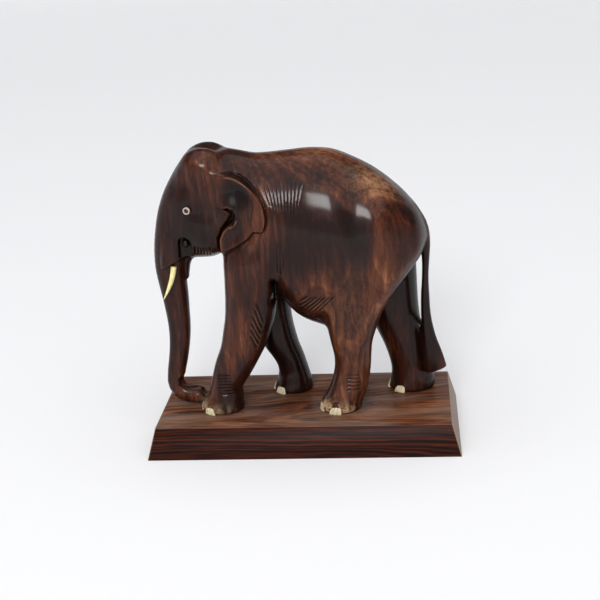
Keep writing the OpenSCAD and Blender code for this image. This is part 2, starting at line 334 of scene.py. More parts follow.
# %% Legs
# height, x, y, half length, half width
leg_rows = {
    "front_left": [
        (0, -54.2, -15, 14.1, 14),
        (5, -54, -15, 13.4, 13.4),
        (10, -52, -15, 11.6, 11.8),
        (15, -51.3, -15, 10.9, 11),
        (24, -47.3, -15, 12.5, 11.5),
        (32, -43.8, -15, 13.7, 12.3),
        (44, -38.2, -15, 14.7, 13.2),
        (55, -34.8, -15.5, 15.6, 14),
        (64, -32.4, -16, 16.2, 15),
        (75, -31, -16.5, 16.5, 15.5),
        (90, -29.5, -16, 17.5, 16.5),
        (105, -28, -15, 18.5, 16.5),
        (120, -26, -12, 17, 15),
        (132, -25, -9, 12, 12),
    ],
    "front_right": [
        (0, -10.5, 17, 13.5, 13.5),
        (6.5, -9.8, 17, 12, 12.3),
        (14, -9.8, 17, 10.2, 10.8),
        (20, -11.3, 17, 10.1, 10.8),
        (25, -13.4, 17, 10.8, 11.2),
        (32, -16.8, 17, 11.8, 12),
        (40, -18.6, 17, 11.6, 12.8),
        (50, -21, 17, 12.2, 13.5),
        (60, -23, 17, 13.5, 14.5),
        (75, -25, 16.5, 15.5, 15.5),
        (90, -27, 16, 17, 16.5),
        (105, -27, 15, 18, 16.5),
        (120, -26, 12, 17, 15),
        (132, -25, 9, 12, 12),
    ],
    "hind_left": [
        (0, 23.5, -17, 13.6, 13.6),
        (5, 24.3, -17, 13.4, 13.3),
        (11, 27.5, -17, 12.8, 12.6),
        (20, 30.4, -17, 12.1, 11.8),
        (30, 32.3, -17, 11.7, 12),
        (37, 32.5, -17, 12, 12.8),
        (46, 32.2, -17, 13.4, 14),
        (55, 32.8, -17, 15.6, 15.4),
        (64, 34, -17, 17.8, 16.6),
        (75, 37, -17, 20.5, 17.5),
        (87, 42, -16.5, 23.5, 18.5),
        (100, 47, -15, 24.5, 19),
        (115, 49, -12, 22, 18),
        (128, 48, -9, 16, 14),
    ],
    "hind_right": [
        (0, 69.3, 17, 15.6, 14),
        (8, 70.4, 17, 14.3, 13),
        (15, 69.8, 17, 13.5, 12.3),
        (23.5, 68, 17, 13.5, 12.2),
        (32, 65.7, 17, 14, 12.6),
        (42, 62.4, 17, 15, 13.6),
        (50, 60.2, 17, 16, 14.8),
        (60, 57.6, 17, 17.7, 16),
        (70, 55.3, 17, 19.6, 17),
        (80, 53.2, 17, 21.5, 18),
        (91, 51, 16.5, 23.6, 18.6),
        (102, 50, 15, 24.5, 19),
        (115, 49, 12, 22, 18),
        (128, 48, 9, 16, 14),
    ],
}

# %% [markdown]
# The block is sampled every 0.6 mm, which is about a third of the spacing of the carved wrinkles.
# While trying things out, 1.5 mm is enough to see the stance. Before anything is joined to it, the
# block says FAR, which is well outside the wood, everywhere.

# %% The block of wood
PITCH = 0.6
FAR = 40.0
BLOCK_LOW = np.array([-98.0, -42.0, -2.4])
BLOCK_HIGH = np.array([96.0, 42.0, 176.0])

grid_lines = [np.arange(a, b + PITCH, PITCH) for a, b in zip(BLOCK_LOW, BLOCK_HIGH)]
block = np.full([len(line) for line in grid_lines], FAR, np.float32)
print("block of", block.shape, "points")


def window(low, high):
    """The part of the block between two corners: its slices and its X, Y and Z, ready to broadcast."""
    spans = []
    for line, a, b in zip(grid_lines, low, high):
        start, stop = np.searchsorted(line, [a, b])
        spans.append(slice(int(start), int(max(stop, start + 1))))
    shapes = ((-1, 1, 1), (1, -1, 1), (1, 1, -1))
    places = [
        line[span].astype(np.float32).reshape(shape)
        for line, span, shape in zip(grid_lines, spans, shapes)
    ]
    return (tuple(spans), *places)


# %% Curves through a table
def between(rows, at):
    """Values between the rows of a table, at given values of its first column.
    A cubic on each gap, whose slope at a row is the gap-weighted mean of its two neighbours' slopes."""
    rows = np.array(rows, float)
    rows = rows[np.argsort(rows[:, 0], kind="stable")]
    known, values = rows[:, 0], rows[:, 1:]
    gaps = np.diff(known)
    slopes = np.diff(values, axis=0) / gaps[:, None]
    ends = np.concatenate([slopes[:1], slopes, slopes[-1:]])
    widths = np.concatenate([gaps[:1], gaps, gaps[-1:]])[:, None]
    slope = (ends[:-1] * widths[1:] + ends[1:] * widths[:-1]) / (widths[:-1] + widths[1:])
    at = np.clip(np.asarray(at, float), known[0], known[-1])
    i = np.clip(np.searchsorted(known, at) - 1, 0, len(gaps) - 1)
    gap = gaps[i][:, None]
    t = ((at - known[i]) / gaps[i])[:, None]
    start = (2 * t**3 - 3 * t**2 + 1) * values[i] + (t**3 - 2 * t**2 + t) * gap * slope[i]
    end = (3 * t**2 - 2 * t**3) * values[i + 1] + (t**3 - t**2) * gap * slope[i + 1]
    return start + end


def along(rows, steps):
    """Points between the rows of a path table, with steps points to each row."""
    rows = np.asarray(rows, float)
    travel = np.linalg.norm(np.diff(rows[:, :3], axis=0), axis=1)
    distance = np.concatenate([[0.0], np.cumsum(travel)])
    table = np.column_stack([distance, rows])
    return between(table, np.linspace(0.0, distance[-1], steps * (len(rows) - 1) + 1))


# %% Distance fields
def rounded(u, v, half_u, half_v, squareness):
    """Distance outside a rounded outline: (radius - 1) / (how fast the radius grows there), where
    radius = (|u / half_u| ^ s + |v / half_v| ^ s) ^ (1 / s) and s is the squareness."""
    a = np.abs(u) / half_u
    b = np.abs(v) / half_v
    radius = (a**squareness + b**squareness) ** (1 / squareness) + 1e-5
    power = squareness - 1
    growth = np.hypot((a / radius) ** power / half_u, (b / radius) ** power / half_v) + 1e-4
    return ((radius - 1) / growth).astype(np.float32)


def soft_min(a, b, reach):
    """The smaller of two fields, rounded off where they differ by less than reach."""
    overlap = np.maximum(reach - np.abs(a - b), 0) / reach
    return np.minimum(a, b) - overlap * overlap * reach / 4


def soft_max(a, b, reach):
    """The larger of two fields, rounded off in the same way."""
    return -soft_min(-a, -b, reach)


def smooth_step(x, low, high):
    """0 below low, 1 above high, and 3 t^2 - 2 t^3 in between."""
    t = np.clip((x - low) / (high - low), 0, 1)
    return t * t * (3 - 2 * t)


# %% [markdown]
# A limb is either upright (level sections, such as a leg), lengthwise (sections square to the
# animal's length, such as the body) or carried along a path (the trunk and the tail).


# %% Limbs
ROOM = 12.0


def upright(rows, squareness=2.1, cap=3.0):
    """Level sections: at each height, the rounded outline round (x, y), closed at both ends."""
    table = np.array(rows, float)
    spread = table[:, 3:].max() + ROOM
    low = (table[:, 1].min() - spread, table[:, 2].min() - spread, table[:, 0].min() - ROOM)
    high = (table[:, 1].max() + spread, table[:, 2].max() + spread, table[:, 0].max() + ROOM)
    spans, x, y, z = window(low, high)
    level_x, level_y, half_x, half_y = between(rows, z.ravel()).T.astype(np.float32)
    field = rounded(x - level_x, y - level_y, half_x, half_y, squareness)
    ends = np.maximum(table[:, 0].min() - z, z - table[:, 0].max())
    return spans, soft_max(field, ends, cap)


def lengthwise(rows, squareness=2.15, cap=6.0):
    """Sections square to X: at each x, the rounded outline round (y, height)."""
    table = np.array(rows, float)
    low = (table[0, 0] - ROOM, -60, 0)
    high = (table[-1, 0] + ROOM, 60, 200)
    spans, x, y, z = window(low, high)
    middle_y, middle_z, half_y, half_z = between(rows, x.ravel()).T.astype(np.float32)[:, :, None, None]
    field = rounded(y - middle_y, z - middle_z, half_y, half_z, squareness)
    ends = np.maximum(table[0, 0] - x, x - table[-1, 0])
    return spans, soft_max(field, ends, cap)


def along_path(rows, squareness=2.0, steps=3):
    """A limb along a path near the middle plane: the least of the fields of its short straight
    pieces, each of which is the rounded outline of (distance in the plane, distance sideways)."""
    points = along(rows, steps)
    reach = points[:, 3:].max() + ROOM
    low, high = points[:, :3].min(0) - reach, points[:, :3].max(0) + reach
    spans, x, y, z = window(low, high)
    field = np.full((x.size, y.size, z.size), FAR, np.float32)
    for start, end in zip(points[:-1], points[1:]):
        low, high = np.minimum(start, end)[:3] - reach, np.maximum(start, end)[:3] + reach
        near, px, py, pz = window(low, high)
        inner = tuple(slice(n.start - s.start, n.stop - s.start) for n, s in zip(near, spans))
        step = end - start
        length = step[0] ** 2 + step[2] ** 2
        share = np.clip(((px - start[0]) * step[0] + (pz - start[2]) * step[2]) / length, 0, 1)
        share = share.astype(np.float32)
        flat = np.hypot(px - start[0] - share * step[0], pz - start[2] - share * step[2])
        side = py - start[1] - share * step[1]
        depth, breadth = start[3] + share * step[3], start[4] + share * step[4]
        part = rounded(flat, side, depth, breadth, squareness)
        field[inner] = np.minimum(field[inner], part)
    return spans, field


def egg(middle, half):
    """An ellipsoid: (radius - 1) times its least half size."""
    middle, half = np.array(middle, float), np.array(half, float)
    spans, x, y, z = window(middle - half - ROOM, middle + half + ROOM)
    squares = [((p - m) / h) ** 2 for p, m, h in zip((x, y, z), middle, half)]
    return spans, ((np.sqrt(squares[0] + squares[1] + squares[2]) - 1) * half.min()).astype(np.float32)


def join(limb, reach):
    """Adds a limb to the block; reach is how far the two flow into each other."""
    spans, field = limb
    block[spans] = soft_min(block[spans], field, reach)


def gouge_out(limb, reach):
    """Takes a shape out of the block."""
    spans, field = limb
    block[spans] = soft_max(block[spans], -field, reach)


# %% Rough out the body, the head and the trunk
join(lengthwise(body_rows), 0.1)
join(upright(skull_rows, 2.6), 5)
for side in SIDES.values():
    join(egg((-56, side * 10.5, 158.7), (15, 12.5, 14)), 4)
    join(egg((-54, side * 13.5, 121), (12, 9.5, 15)), 5)
join(egg((-41.5, 0, 150), (20, 18.5, 19.2)), 5)
join(along_path(trunk_rows, 2.3), 8)
join(along_path(lip_rows), 2)
print("body, head and trunk roughed out")

# %% [markdown]
# The cheeks are pads on both sides of the trunk's root. Each ends in a crisp slanting edge, and
# the tusk comes out of it.

# %% Cheeks
cheek_rows = [
    (90, -82.5, 11, 6, 3.6),
    (97, -82, 10.6, 6.5, 4),
    (105, -80.5, 9.2, 7.5, 5),
    (115, -78.5, 7, 8.5, 6.5),
    (124, -76.5, 5, 8, 7),
]
for side in SIDES.values():
    spans, cheek = upright([(r[0], r[1], side * r[2], r[3], r[4]) for r in cheek_rows], 2.1, 4)
    x, y, z = (line[span] for line, span in zip(grid_lines, spans))
    slant = 96.5 + 0.5 * (x + 87)
    cheek = soft_max(cheek, slant[:, None, None] - z[None, None, :], 0.6)
    join((spans, cheek.astype(np.float32)), 1.6)

# %% Legs and tail
# The tail ends in a slanting hem, and its tuft leans against the far hind leg.
for name, rows in leg_rows.items():
    join(upright(rows), 5)
tuft_rows = [
    (68, 11, 58, 2, 3),
    (73.5, 9.5, 49, 3.2, 4.5),
    (77, 8.5, 41, 5, 5.4),
    (78.8, 8.5, 33, 6.3, 6),
    (80.5, 8.5, 22, 7, 6),
]
for rows, reach in ((tail_rows, 2.0), (tuft_rows, 3.0)):
    spans, tail = along_path(rows)
    x, z = grid_lines[0][spans[0]], grid_lines[2][spans[2]]
    hem = 17.2 + 0.35 * (x[:, None, None] - 88) - z[None, None, :]
    join((spans, soft_max(tail, hem.astype(np.float32), 0.8)), reach)
print("legs and tail joined")

# %% [markdown]
# ## Ears
#
# Each ear is a thin leaf that lies back against the neck. Its upper and back border is rolled
# over into a band, which ends in a small lobe, and the leaf is hollowed under it. The leaf's
# outline is a closed curve through a few corners, and the field needs the distance to it.


# %% Closed outlines
def closed_curve(corners, steps):
    """A smooth closed curve through the corners: on each gap, the Catmull-Rom cubic."""
    c = np.asarray(corners, float)
    before, after, beyond = np.roll(c, 1, 0), np.roll(c, -1, 0), np.roll(c, -2, 0)
    t = (np.arange(steps) / steps)[None, :, None]
    a, b, d, e = (value[:, None, :] for value in (before, c, after, beyond))
    turn = 2 * a - 5 * b + 4 * d - e
    curve = b + 0.5 * t * ((d - a) + t * (turn + t * (3 * (b - d) + e - a)))
    return curve.reshape(-1, 2)


def to_side(x, z, a, b):
    """From each (x, z) to the straight side from a to b: how far along the side the nearest point
    is, 0 to 1, and the square of the distance to it."""
    step = b - a
    share = np.clip(((x - a[0]) * step[0] + (z - a[1]) * step[1]) / (step @ step + 1e-9), 0, 1)
    return share, (x - a[0] - share * step[0]) ** 2 + (z - a[1] - share * step[1]) ** 2


def outline_distance(x, z, curve):
    """Distance from a closed outline, less than 0 inside: the least distance to its sides, with
    the sign from how many sides a line towards +X crosses."""
    least = np.full(np.broadcast_shapes(x.shape, z.shape), 1e9)
    inside = np.zeros(least.shape, bool)
    for a, b in zip(curve, np.roll(curve, -1, 0)):
        least = np.minimum(least, to_side(x, z, a, b)[1])
        if a[1] != b[1]:
            level_with = (a[1] <= z) != (b[1] <= z)
            inside ^= level_with & (x < a[0] + (z - a[1]) * (b[0] - a[0]) / (b[1] - a[1]))
    return np.where(inside, -np.sqrt(least), np.sqrt(least))


def stroke_distance(x, z, points):
    """Distance from an open line of points, and how far along it the nearest point is, 0 to 1."""
    points = np.asarray(points, float)
    lengths = np.linalg.norm(np.diff(points, axis=0), axis=1)
    starts = np.concatenate([[0.0], np.cumsum(lengths)])
    least = np.full(np.broadcast_shapes(x.shape, z.shape), 1e9)
    where = np.zeros(least.shape)
    for i, (a, b) in enumerate(zip(points[:-1], points[1:])):
        share, gap = to_side(x, z, a, b)
        closer = gap < least
        least = np.where(closer, gap, least)
        where = np.where(closer, (starts[i] + share * lengths[i]) / starts[-1], where)
    return np.sqrt(least), where


# %% Outlines of the ears
# x, height. The front edge of the leaf follows the hooked fold behind the jaw.
EAR_STEPS = 4
ear_leaf_corners = [
    (-46, 157), (-41, 158), (-33, 156), (-26, 151), (-21, 145), (-18, 138.5), (-17, 131),
    (-18.5, 125), (-22, 123), (-25.5, 122.5), (-29, 118.5), (-34, 115), (-40, 111.5),
    (-45.6, 108.3), (-47.8, 110.5), (-48, 117), (-45, 123), (-41.5, 127.5), (-40, 132),
    (-43, 136.5), (-45, 141), (-47, 147), (-47.5, 153),
]
ear_band_corners = [
    (-42, 157.5), (-37, 157.8), (-32, 155.8), (-26, 151.2), (-21, 145), (-18, 138.5), (-17, 131),
    (-18.2, 125.5), (-20, 123.2), (-23.5, 125), (-25.3, 128), (-24.8, 133), (-23.8, 138),
    (-23.9, 143), (-26.9, 148.7), (-31.5, 153.2), (-36.5, 155.8),
]

# %% Carve the ears
# The leaf lies flat, this far out at its front edge, and splays out towards the back. lie is its
# distance from the middle plane, and out is each point's own.
EAR_FRONT = -47
EAR_OUT = 24.3
EAR_SPLAY = math.radians(11)
EAR_THICK = 8

spans, x, y, z = window((-56, -44, 100), (-8, 44, 166))
out = np.abs(y)
flat_x, flat_z = x[:, 0], z[:, 0]
leaf = outline_distance(flat_x, flat_z, closed_curve(ear_leaf_corners, EAR_STEPS))[:, None, :]
band = outline_distance(flat_x, flat_z, closed_curve(ear_band_corners, EAR_STEPS))[:, None, :]
lie = EAR_OUT + math.tan(EAR_SPLAY) * (x - EAR_FRONT)
hollow = 4.2 * np.exp(-(((x + 35) / 9) ** 2 + ((z - 147) / 7) ** 2))
hollow = hollow + 0.8 * smooth_step(-leaf, 0.5, 7)
hollow = hollow + 4.5 * smooth_step(z, 130, 139) * (1 - smooth_step(x, -50, -37))
# a groove round the outline, deepest low down, so that the leaf stands off the neck
undercut = (0.7 + 1.2 * (1 - smooth_step(z, 120, 130))) * np.exp(-(((leaf - 0.4) / 0.8) ** 2))
undercut = undercut * smooth_step(x, -46, -38)
block[spans] += (undercut * smooth_step(out, 14, 18)).astype(np.float32)
# the hollowed leaf and its rolled border; valley is how far the leaf flows into the head
plate = soft_max(np.maximum(out - (lie + 0.1 - hollow), lie - EAR_THICK - out), leaf, 1.2)
roll = soft_max(np.maximum(out - (lie + 2.6 - 0.07 * (band + 3) ** 2), lie - EAR_THICK - out), band, 0.5)
valley = 1.6 + 6.0 * smooth_step(z, 132, 140) * (1 - smooth_step(x, -41, -33))
join((spans, plate.astype(np.float32)), valley.astype(np.float32))
join((spans, roll.astype(np.float32)), 0.2)
# a finer line outside the border
ring_cut = 0.6 * np.exp(-(((leaf - 1.0) / 0.5) ** 2)) * smooth_step(x + 0.6 * (z - 140), -42, -30)
block[spans] += (ring_cut * smooth_step(out, 14, 18) * smooth_step(z, 123, 130)).astype(np.float32)
print("ears carved")

# %% [markdown]
# ## Gouge strokes
#
# Wrinkles are V-tool cuts. A stroke is an open line on the animal's side: near it, the field is
# raised by depth * exp(-(distance / width)^2), fading at both ends, which sinks the surface by
# about that depth. A negative depth leaves a ridge.


# %% Stroke
def stroke(points, depth, width, side=-1, inner=0.0, fade=0.2, swell=0.0, swell_at=0.5):
    """Cuts a groove of this depth and width, in mm, along points (x, height). It is on the left
    when side is -1, the right when 1 and both when 0, and only where the distance from the middle
    plane is more than inner. The groove is (1 + swell) times as wide at swell_at, a share of its
    length."""
    points = np.asarray(points, float)
    reach = 3.2 * width * (1 + swell) + 1
    low = (points[:, 0].min() - reach, -60, points[:, 1].min() - reach)
    high = (points[:, 0].max() + reach, 60, points[:, 1].max() + reach)
    spans, x, y, z = window(low, high)
    distance, share = stroke_distance(x[:, 0], z[:, 0], points)
    taper = smooth_step(np.minimum(share, 1 - share), -0.02, fade)
    spread = width * (1 + swell * np.exp(-(((share - swell_at) / 0.17) ** 2)))
    cut = depth * taper * np.exp(-((distance / spread) ** 2))
    outward = np.abs(y) if side == 0 else y * side
    mask = smooth_step(outward, inner, inner + 3)
    block[spans] += (cut[:, None, :] * mask).astype(np.float32)


def row_of_strokes(starts, ends, depth, width, **options):
    """A row of straight strokes, each from one point of starts to the same one of ends."""
    for start, end in zip(starts, ends):
        stroke([start, end], depth, width, **options)


# %% Face
ear_fold = [(-47.6, 108), (-48, 112), (-48, 117.5), (-45.3, 123.3), (-41.6, 127.2), (-38.9, 129.8)]
ear_fold += [(-37.7, 132.4), (-38.6, 135.0), (-40.9, 136.3), (-43.2, 136.3)]
stroke(ear_fold, 3.4, 0.75, 0, 4, 0.06, swell=1.2, swell_at=0.76)
stroke([(-41, 124.8), (-37.2, 126.2), (-35, 129.8)], -1.0, 0.9, 0, 12)
jaw_x = np.linspace(-64, -54, 6)
row_of_strokes(
    [(x, 112) for x in jaw_x], [(x - 1.2, 105) for x in jaw_x], 1.2, 0.4, side=0, inner=8
)

spans, x, y, z = window((-78, -30, 126), (-46, 30, 172))
edge = between(
    [(126, -71.6), (138, -71.6), (146, -71.3), (155, -70.7), (162, -70.1), (166, -69), (172, -66)],
    z.ravel(),
).ravel()
temple = smooth_step(x - edge, -1.5, 5) * (1 - smooth_step(x, -68, -48))
temple = temple * smooth_step(z, 127, 137) * (1 - smooth_step(z, 157, 167))
block[spans] += (1.5 * temple * smooth_step(np.abs(y), 3, 8)).astype(np.float32)
print("face lines cut")

# %% Mouth
# A pocket on each side, 4.4 mm in radius and drawn out upwards, with a small pad in its corner.
spans, x, y, z = window((-84, -26, 94), (-58, 26, 126))
arch = np.hypot(x + 71.2, np.maximum(z - 113, 0) + np.maximum(99 - z, 0)) - 4.4
pocket = soft_max(arch + 0 * y, 8.5 - np.abs(y), 1.5)
block[spans] = soft_max(block[spans], -pocket.astype(np.float32), 0.8)
for side in SIDES.values():
    join(egg((-70.8, side * 10.6, 112.6), (2.7, 3.4, 3.1)), 0.8)
print("mouth cut")

# %% Neck, shoulder, elbow, flank and ankles
share = np.linspace(0, 1, 11)
neck_tops = np.stack([-18.5 + 26 * share, 150 + 7 * np.sin(math.pi * (0.1 + 0.8 * share))], 1)
neck_feet = np.stack([-13.5 + 17.5 * share, 138 - 4.5 * np.sin(math.pi * share)], 1)
row_of_strokes(neck_tops, neck_feet, 0.3, 0.5, side=0, inner=12)
nape_tops = [(-32, 157.5), (-29.5, 157), (-27, 156), (-24.5, 154.6), (-22.3, 152.6)]
nape_feet = [(-29.5, 154.8), (-26.7, 153.4), (-24.2, 151.6), (-21.8, 149), (-20, 146)]
row_of_strokes(nape_tops, nape_feet, 0.25, 0.45, side=0, inner=12)
shoulder_tops = [(-10.2, 118), (-8.4, 116.5), (-6.8, 112)]
shoulder_feet = [(-12, 95), (-10.2, 94), (-8, 98)]
row_of_strokes(shoulder_tops, shoulder_feet, 0.8, 0.5, side=0, inner=12)
elbow_tops = [(-26.1, 79), (-27.6, 75), (-29.2, 70.3), (-30.3, 65.3), (-30.8, 60.3), (-31.4, 55.2)]
elbow_feet = [(-22.2, 61.5), (-23.2, 58), (-24.4, 53.6), (-25.4, 50), (-26.4, 47), (-28, 44.5)]
row_of_strokes(elbow_tops, elbow_feet, 1.25, 0.6, inner=16)
flank_tops = [(7, 81), (9.7, 80.4), (12.7, 81.2), (15.6, 80.8), (18.5, 81.5), (21.1, 81.6), (24, 82.3)]
flank_feet = [(0.5, 76), (0, 72.4), (1, 70.3), (3.4, 69), (5.2, 67.8), (8.3, 67.6), (11.8, 68.6)]
row_of_strokes(flank_tops, flank_feet, 0.9, 0.45, side=0, inner=12)
ankle_z = np.linspace(26.8, 13.6, 7)
row_of_strokes(
    [(-56.5, z) for z in ankle_z], [(-45.2, z + 0.4) for z in ankle_z], 0.55, 0.42, inner=16
)
ankle_z = np.linspace(26.6, 16.6, 5)
# front and back end, depth, width and side of the other three ankles' strokes
other_ankles = [(27.5, 37.5, 0.6, 0.45, -1), (-17, -6, 0.9, 0.6, 1), (64, 74, 0.9, 0.6, 1)]
for front, back, depth, width, side in other_ankles:
    starts, ends = [(front, z) for z in ankle_z], [(back, z) for z in ankle_z]
    row_of_strokes(starts, ends, depth, width, side=side, inner=18)
stroke([(-15.8, 92), (-14.9, 85), (-15.4, 79), (-17, 73)], 4.0, 1.6, inner=10, fade=0.3)
spans, x, y, z = window((16, -44, 92), (74, 44, 162))
valley = 1.5 * np.exp(-(((x - 38 + 0.12 * (z - 130)) / 8) ** 2))
haunch = 0.8 * np.exp(-(((x - 53) / 9) ** 2 + ((z - 130) / 15) ** 2))
part = smooth_step(z, 96, 116) * (1 - smooth_step(z, 146, 158)) * smooth_step(np.abs(y), 12, 22)
block[spans] += ((valley - haunch) * part).astype(np.float32)
stroke([(9.5, 64.5), (13, 62.6), (16, 60)], 1.6, 0.8, inner=10)
print("wrinkles and the haunch's valley cut")

# %% Trunk tip and soles
# A fold across the tip and its nostril are scooped out.
gouge_out(egg((-76.5, -4, 15.2), (10, 7, 5.6)), 0.6)
gouge_out(egg((-67.8, -4, 8.2), (3.6, 3.2, 3)), 0.5)
spans, x, y, z = window(BLOCK_LOW, (BLOCK_HIGH[0] + 1, BLOCK_HIGH[1] + 1, 6))
block[spans] = soft_max(block[spans], np.broadcast_to(-z, block[spans].shape), 1.2)
print("soles flattened")

# %% [markdown]
# ## From the field to a skin
#
# Surface nets put one point in every cell that the surface passes through, at the mean of the
# places where it crosses the cell's edges, and one quad across every crossed edge. Each point is
# then moved onto the exact surface by a few Newton steps: p - field * slope / slope squared.


# %% Skin
def surface_net(field):
    """Points (in grid steps) and quads of the surface where the field is zero."""
    inside = field < 0
    corner_cells = [
        inside[i : inside.shape[0] - 1 + i, j : inside.shape[1] - 1 + j, k : inside.shape[2] - 1 + k]
        for i in (0, 1)
        for j in (0, 1)
        for k in (0, 1)
    ]
    count = sum(cell.astype(np.int8) for cell in corner_cells)
    crossed = (count > 0) & (count < 8)
    cells = np.argwhere(crossed)
    number = np.full(crossed.shape, -1, np.int32)
    number[crossed] = np.arange(len(cells))
    total = np.zeros((len(cells), 3))
    crossings = np.zeros(len(cells))
    for axis in range(3):
        for first in (0, 1):
            for second in (0, 1):
                corner = np.insert([first, second], axis, 0)
                value_a = field[tuple((cells + corner).T)]
                corner_b = corner.copy()
                corner_b[axis] = 1
                value_b = field[tuple((cells + corner_b).T)]
                cut = (value_a < 0) != (value_b < 0)
                share = np.where(cut, value_a / np.where(cut, value_a - value_b, 1), 0)
                place = np.tile(corner.astype(float), (len(cells), 1))
                place[:, axis] = share
                total += place * cut[:, None]
                crossings += cut
    points = cells + total / crossings[:, None]
    quads = []
    for axis in range(3):
        low = [slice(1, size - 1) for size in inside.shape]
        high = list(low)
        low[axis] = slice(0, inside.shape[axis] - 1)
        high[axis] = slice(1, inside.shape[axis])
        first, second = inside[tuple(low)], inside[tuple(high)]
        u, v = [(1, 2), (2, 0), (0, 1)][axis]
        for leaving, crossing in ((True, first & ~second), (False, ~first & second)):
            edge = np.argwhere(crossing)
            edge[:, [d for d in range(3) if d != axis]] += 1
            corners = []
            for back_u, back_v in ((1, 1), (0, 1), (0, 0), (1, 0)):
                cell = edge.copy()
                cell[:, u] -= back_u
                cell[:, v] -= back_v
                corners.append(number[tuple(cell.T)])
            quad = np.stack(corners, 1)
            quads.append(quad if leaving else quad[:, ::-1])
    return points, np.concatenate(quads)


def sample(field, places):
    """The field between its grid points: the trilinear mean of the eight round each place."""
    base = np.clip(np.floor(places).astype(int), 0, np.array(field.shape) - 2)
    part = places - base
    value = 0.0
    for i in (0, 1):
        for j in (0, 1):
            for k in (0, 1):
                weight = np.prod(np.where([i, j, k], part, 1 - part), axis=1)
                value = value + weight * field[tuple((base + [i, j, k]).T)]
    return value


def slope_at(field, places, reach=1.0):
    """The field's slope: half the difference of its values one reach either way."""
    steps = np.eye(3) * reach
    pairs = [(sample(field, places + step) - sample(field, places - step)) / 2 for step in steps]
    return np.stack(pairs, 1) / reach


# %% Take the skin off the block
NEWTON_STEPS = 3
LONGEST_PUSH = 0.5
LEAST_STEEPNESS = 0.02

skin_points, skin_quads = surface_net(block)
for _ in range(NEWTON_STEPS):
    lean = slope_at(block, skin_points, 0.5)
    push = sample(block, skin_points) / np.maximum((lean**2).sum(1), LEAST_STEEPNESS)
    skin_points -= np.clip(push, -LONGEST_PUSH, LONGEST_PUSH)[:, None] * lean
print("skin:", len(skin_points), "points,", len(skin_quads), "quads")

elephant = mesh_piece(
    "carved_elephant_skin", on_plinth(BLOCK_LOW + skin_points * PITCH), skin_quads
)

# %% [markdown]
# The net has far more faces than smooth parts need. Decimating by collapse keeps the small faces
# where the wrinkles are. The normals come from the field afterwards, so the shine stays smooth.

# %% Thin the skin
MOST_TRIANGLES = 190_000
triangles = 2 * len(skin_quads)
if triangles > MOST_TRIANGLES:
    thin = elephant.modifiers.new("thin", "DECIMATE")
    thin.ratio = MOST_TRIANGLES / triangles
    thin.use_collapse_triangulate = True
    bpy.context.view_layer.update()
    finished = bpy.data.meshes.new_from_object(
        elephant.evaluated_get(bpy.context.evaluated_depsgraph_get())
    )
    elephant.modifiers.clear()
    elephant.data = finished
skin = elephant.data
skin.polygons.foreach_set("use_smooth", np.full(len(skin.polygons), True))
places = np.zeros(len(skin.vertices) * 3, np.float32)
skin.vertices.foreach_get("co", places)
places = places.reshape(-1, 3) / MM - [0.0, FIGURE_Y, PLINTH_H]
steps_in = (places - BLOCK_LOW) / PITCH
normals = slope_at(block, steps_in, 0.8)
normals /= np.linalg.norm(normals, axis=1)[:, None] + 1e-9
skin.normals_split_custom_set_from_vertices(normals)
print("carving:", len(skin.polygons), "faces")

# %% [markdown]
# Polish wears the ridges and dirt settles in the cuts. The hollows are also darkened as painted
# shade, and the ridges lightened as a painted highlight. How much wood lies round a point tells one
# from the other: the mean of the field a little way off, along the skin, is above zero on a ridge
# and below zero in a hollow. The shader reads both numbers from the skin.


# %% Hollows and ridges
def bulge(field, places, normals, reach):
    """Mean of the field at four places, one reach away along the skin, in mm."""
    helper = np.where(np.abs(normals[:, 2:]) < 0.8, [[0.0, 0.0, 1.0]], [[1.0, 0.0, 0.0]])
    first = np.cross(normals, helper)
    first /= np.linalg.norm(first, axis=1)[:, None]
    second = np.cross(normals, first)
    total = 0.0
    for way in (first, -first, second, -second):
        total = total + sample(field, places + way * reach)
    return total / 4


FINE_REACH = 1.2
BROAD_REACH = 4.0
fine = bulge(block, steps_in, normals, FINE_REACH / PITCH)
broad = bulge(block, steps_in, normals, BROAD_REACH / PITCH)


def point_attribute(piece, name, values):
    """Stores one number per vertex for the shader to read."""
    attribute = piece.data.attributes.new(name, "FLOAT", "POINT")
    attribute.data.foreach_set("value", np.asarray(values, np.float32))


# Dirt and painted shade: 0.9 is there when the fine bulge is -0.22 mm, and 0.5 more when the broad one
# is -3 mm.
# The wear on the ridges is partly a painted highlight.
dirt_and_painted_shade = np.clip(-fine / 0.22, 0, 1) * 0.9 + np.clip(-broad / 3, 0, 1) * 0.5
wear_and_painted_highlight = np.clip(fine / 0.35 - 0.6, 0, 1)
point_attribute(elephant, "hollow", dirt_and_painted_shade)
point_attribute(elephant, "ridge", wear_and_painted_highlight)
print("dirt reaches", round(float(dirt_and_painted_shade.max()), 2), "and wear", round(float(wear_and_painted_highlight.max()), 2))

# %% [markdown]
# ## The wood of the carving
#
# Oiled rosewood: near-black and red-brown streaks run up through the block, because its grain stands
# upright. On the sides they show as tall stripes, and on top of the back, which cuts across
# them, as swirls. Some parts of the block are warmer than others, and the oil has worn off in a
# few places. A few dark bumps are painted shade: in the mouth, in the ear's hollow, and on the far
# legs and the tail under the body. Broad bumps in numbers on the skin say where.

# %% Warm, dark and worn parts of the block, and painted shade
def spots_on_skin(rows):
    """At each point of the skin, the sum over rows of (x, y, height, three half sizes, strength):
    strength * exp(-(distance from the middle, in half sizes)^2)."""
    total = np.zeros(len(places))
    for row in rows:
        offset = (places - np.array(row[:3])) / np.array(row[3:6])
        total += row[6] * np.exp(-(offset**2).sum(1))
    return total


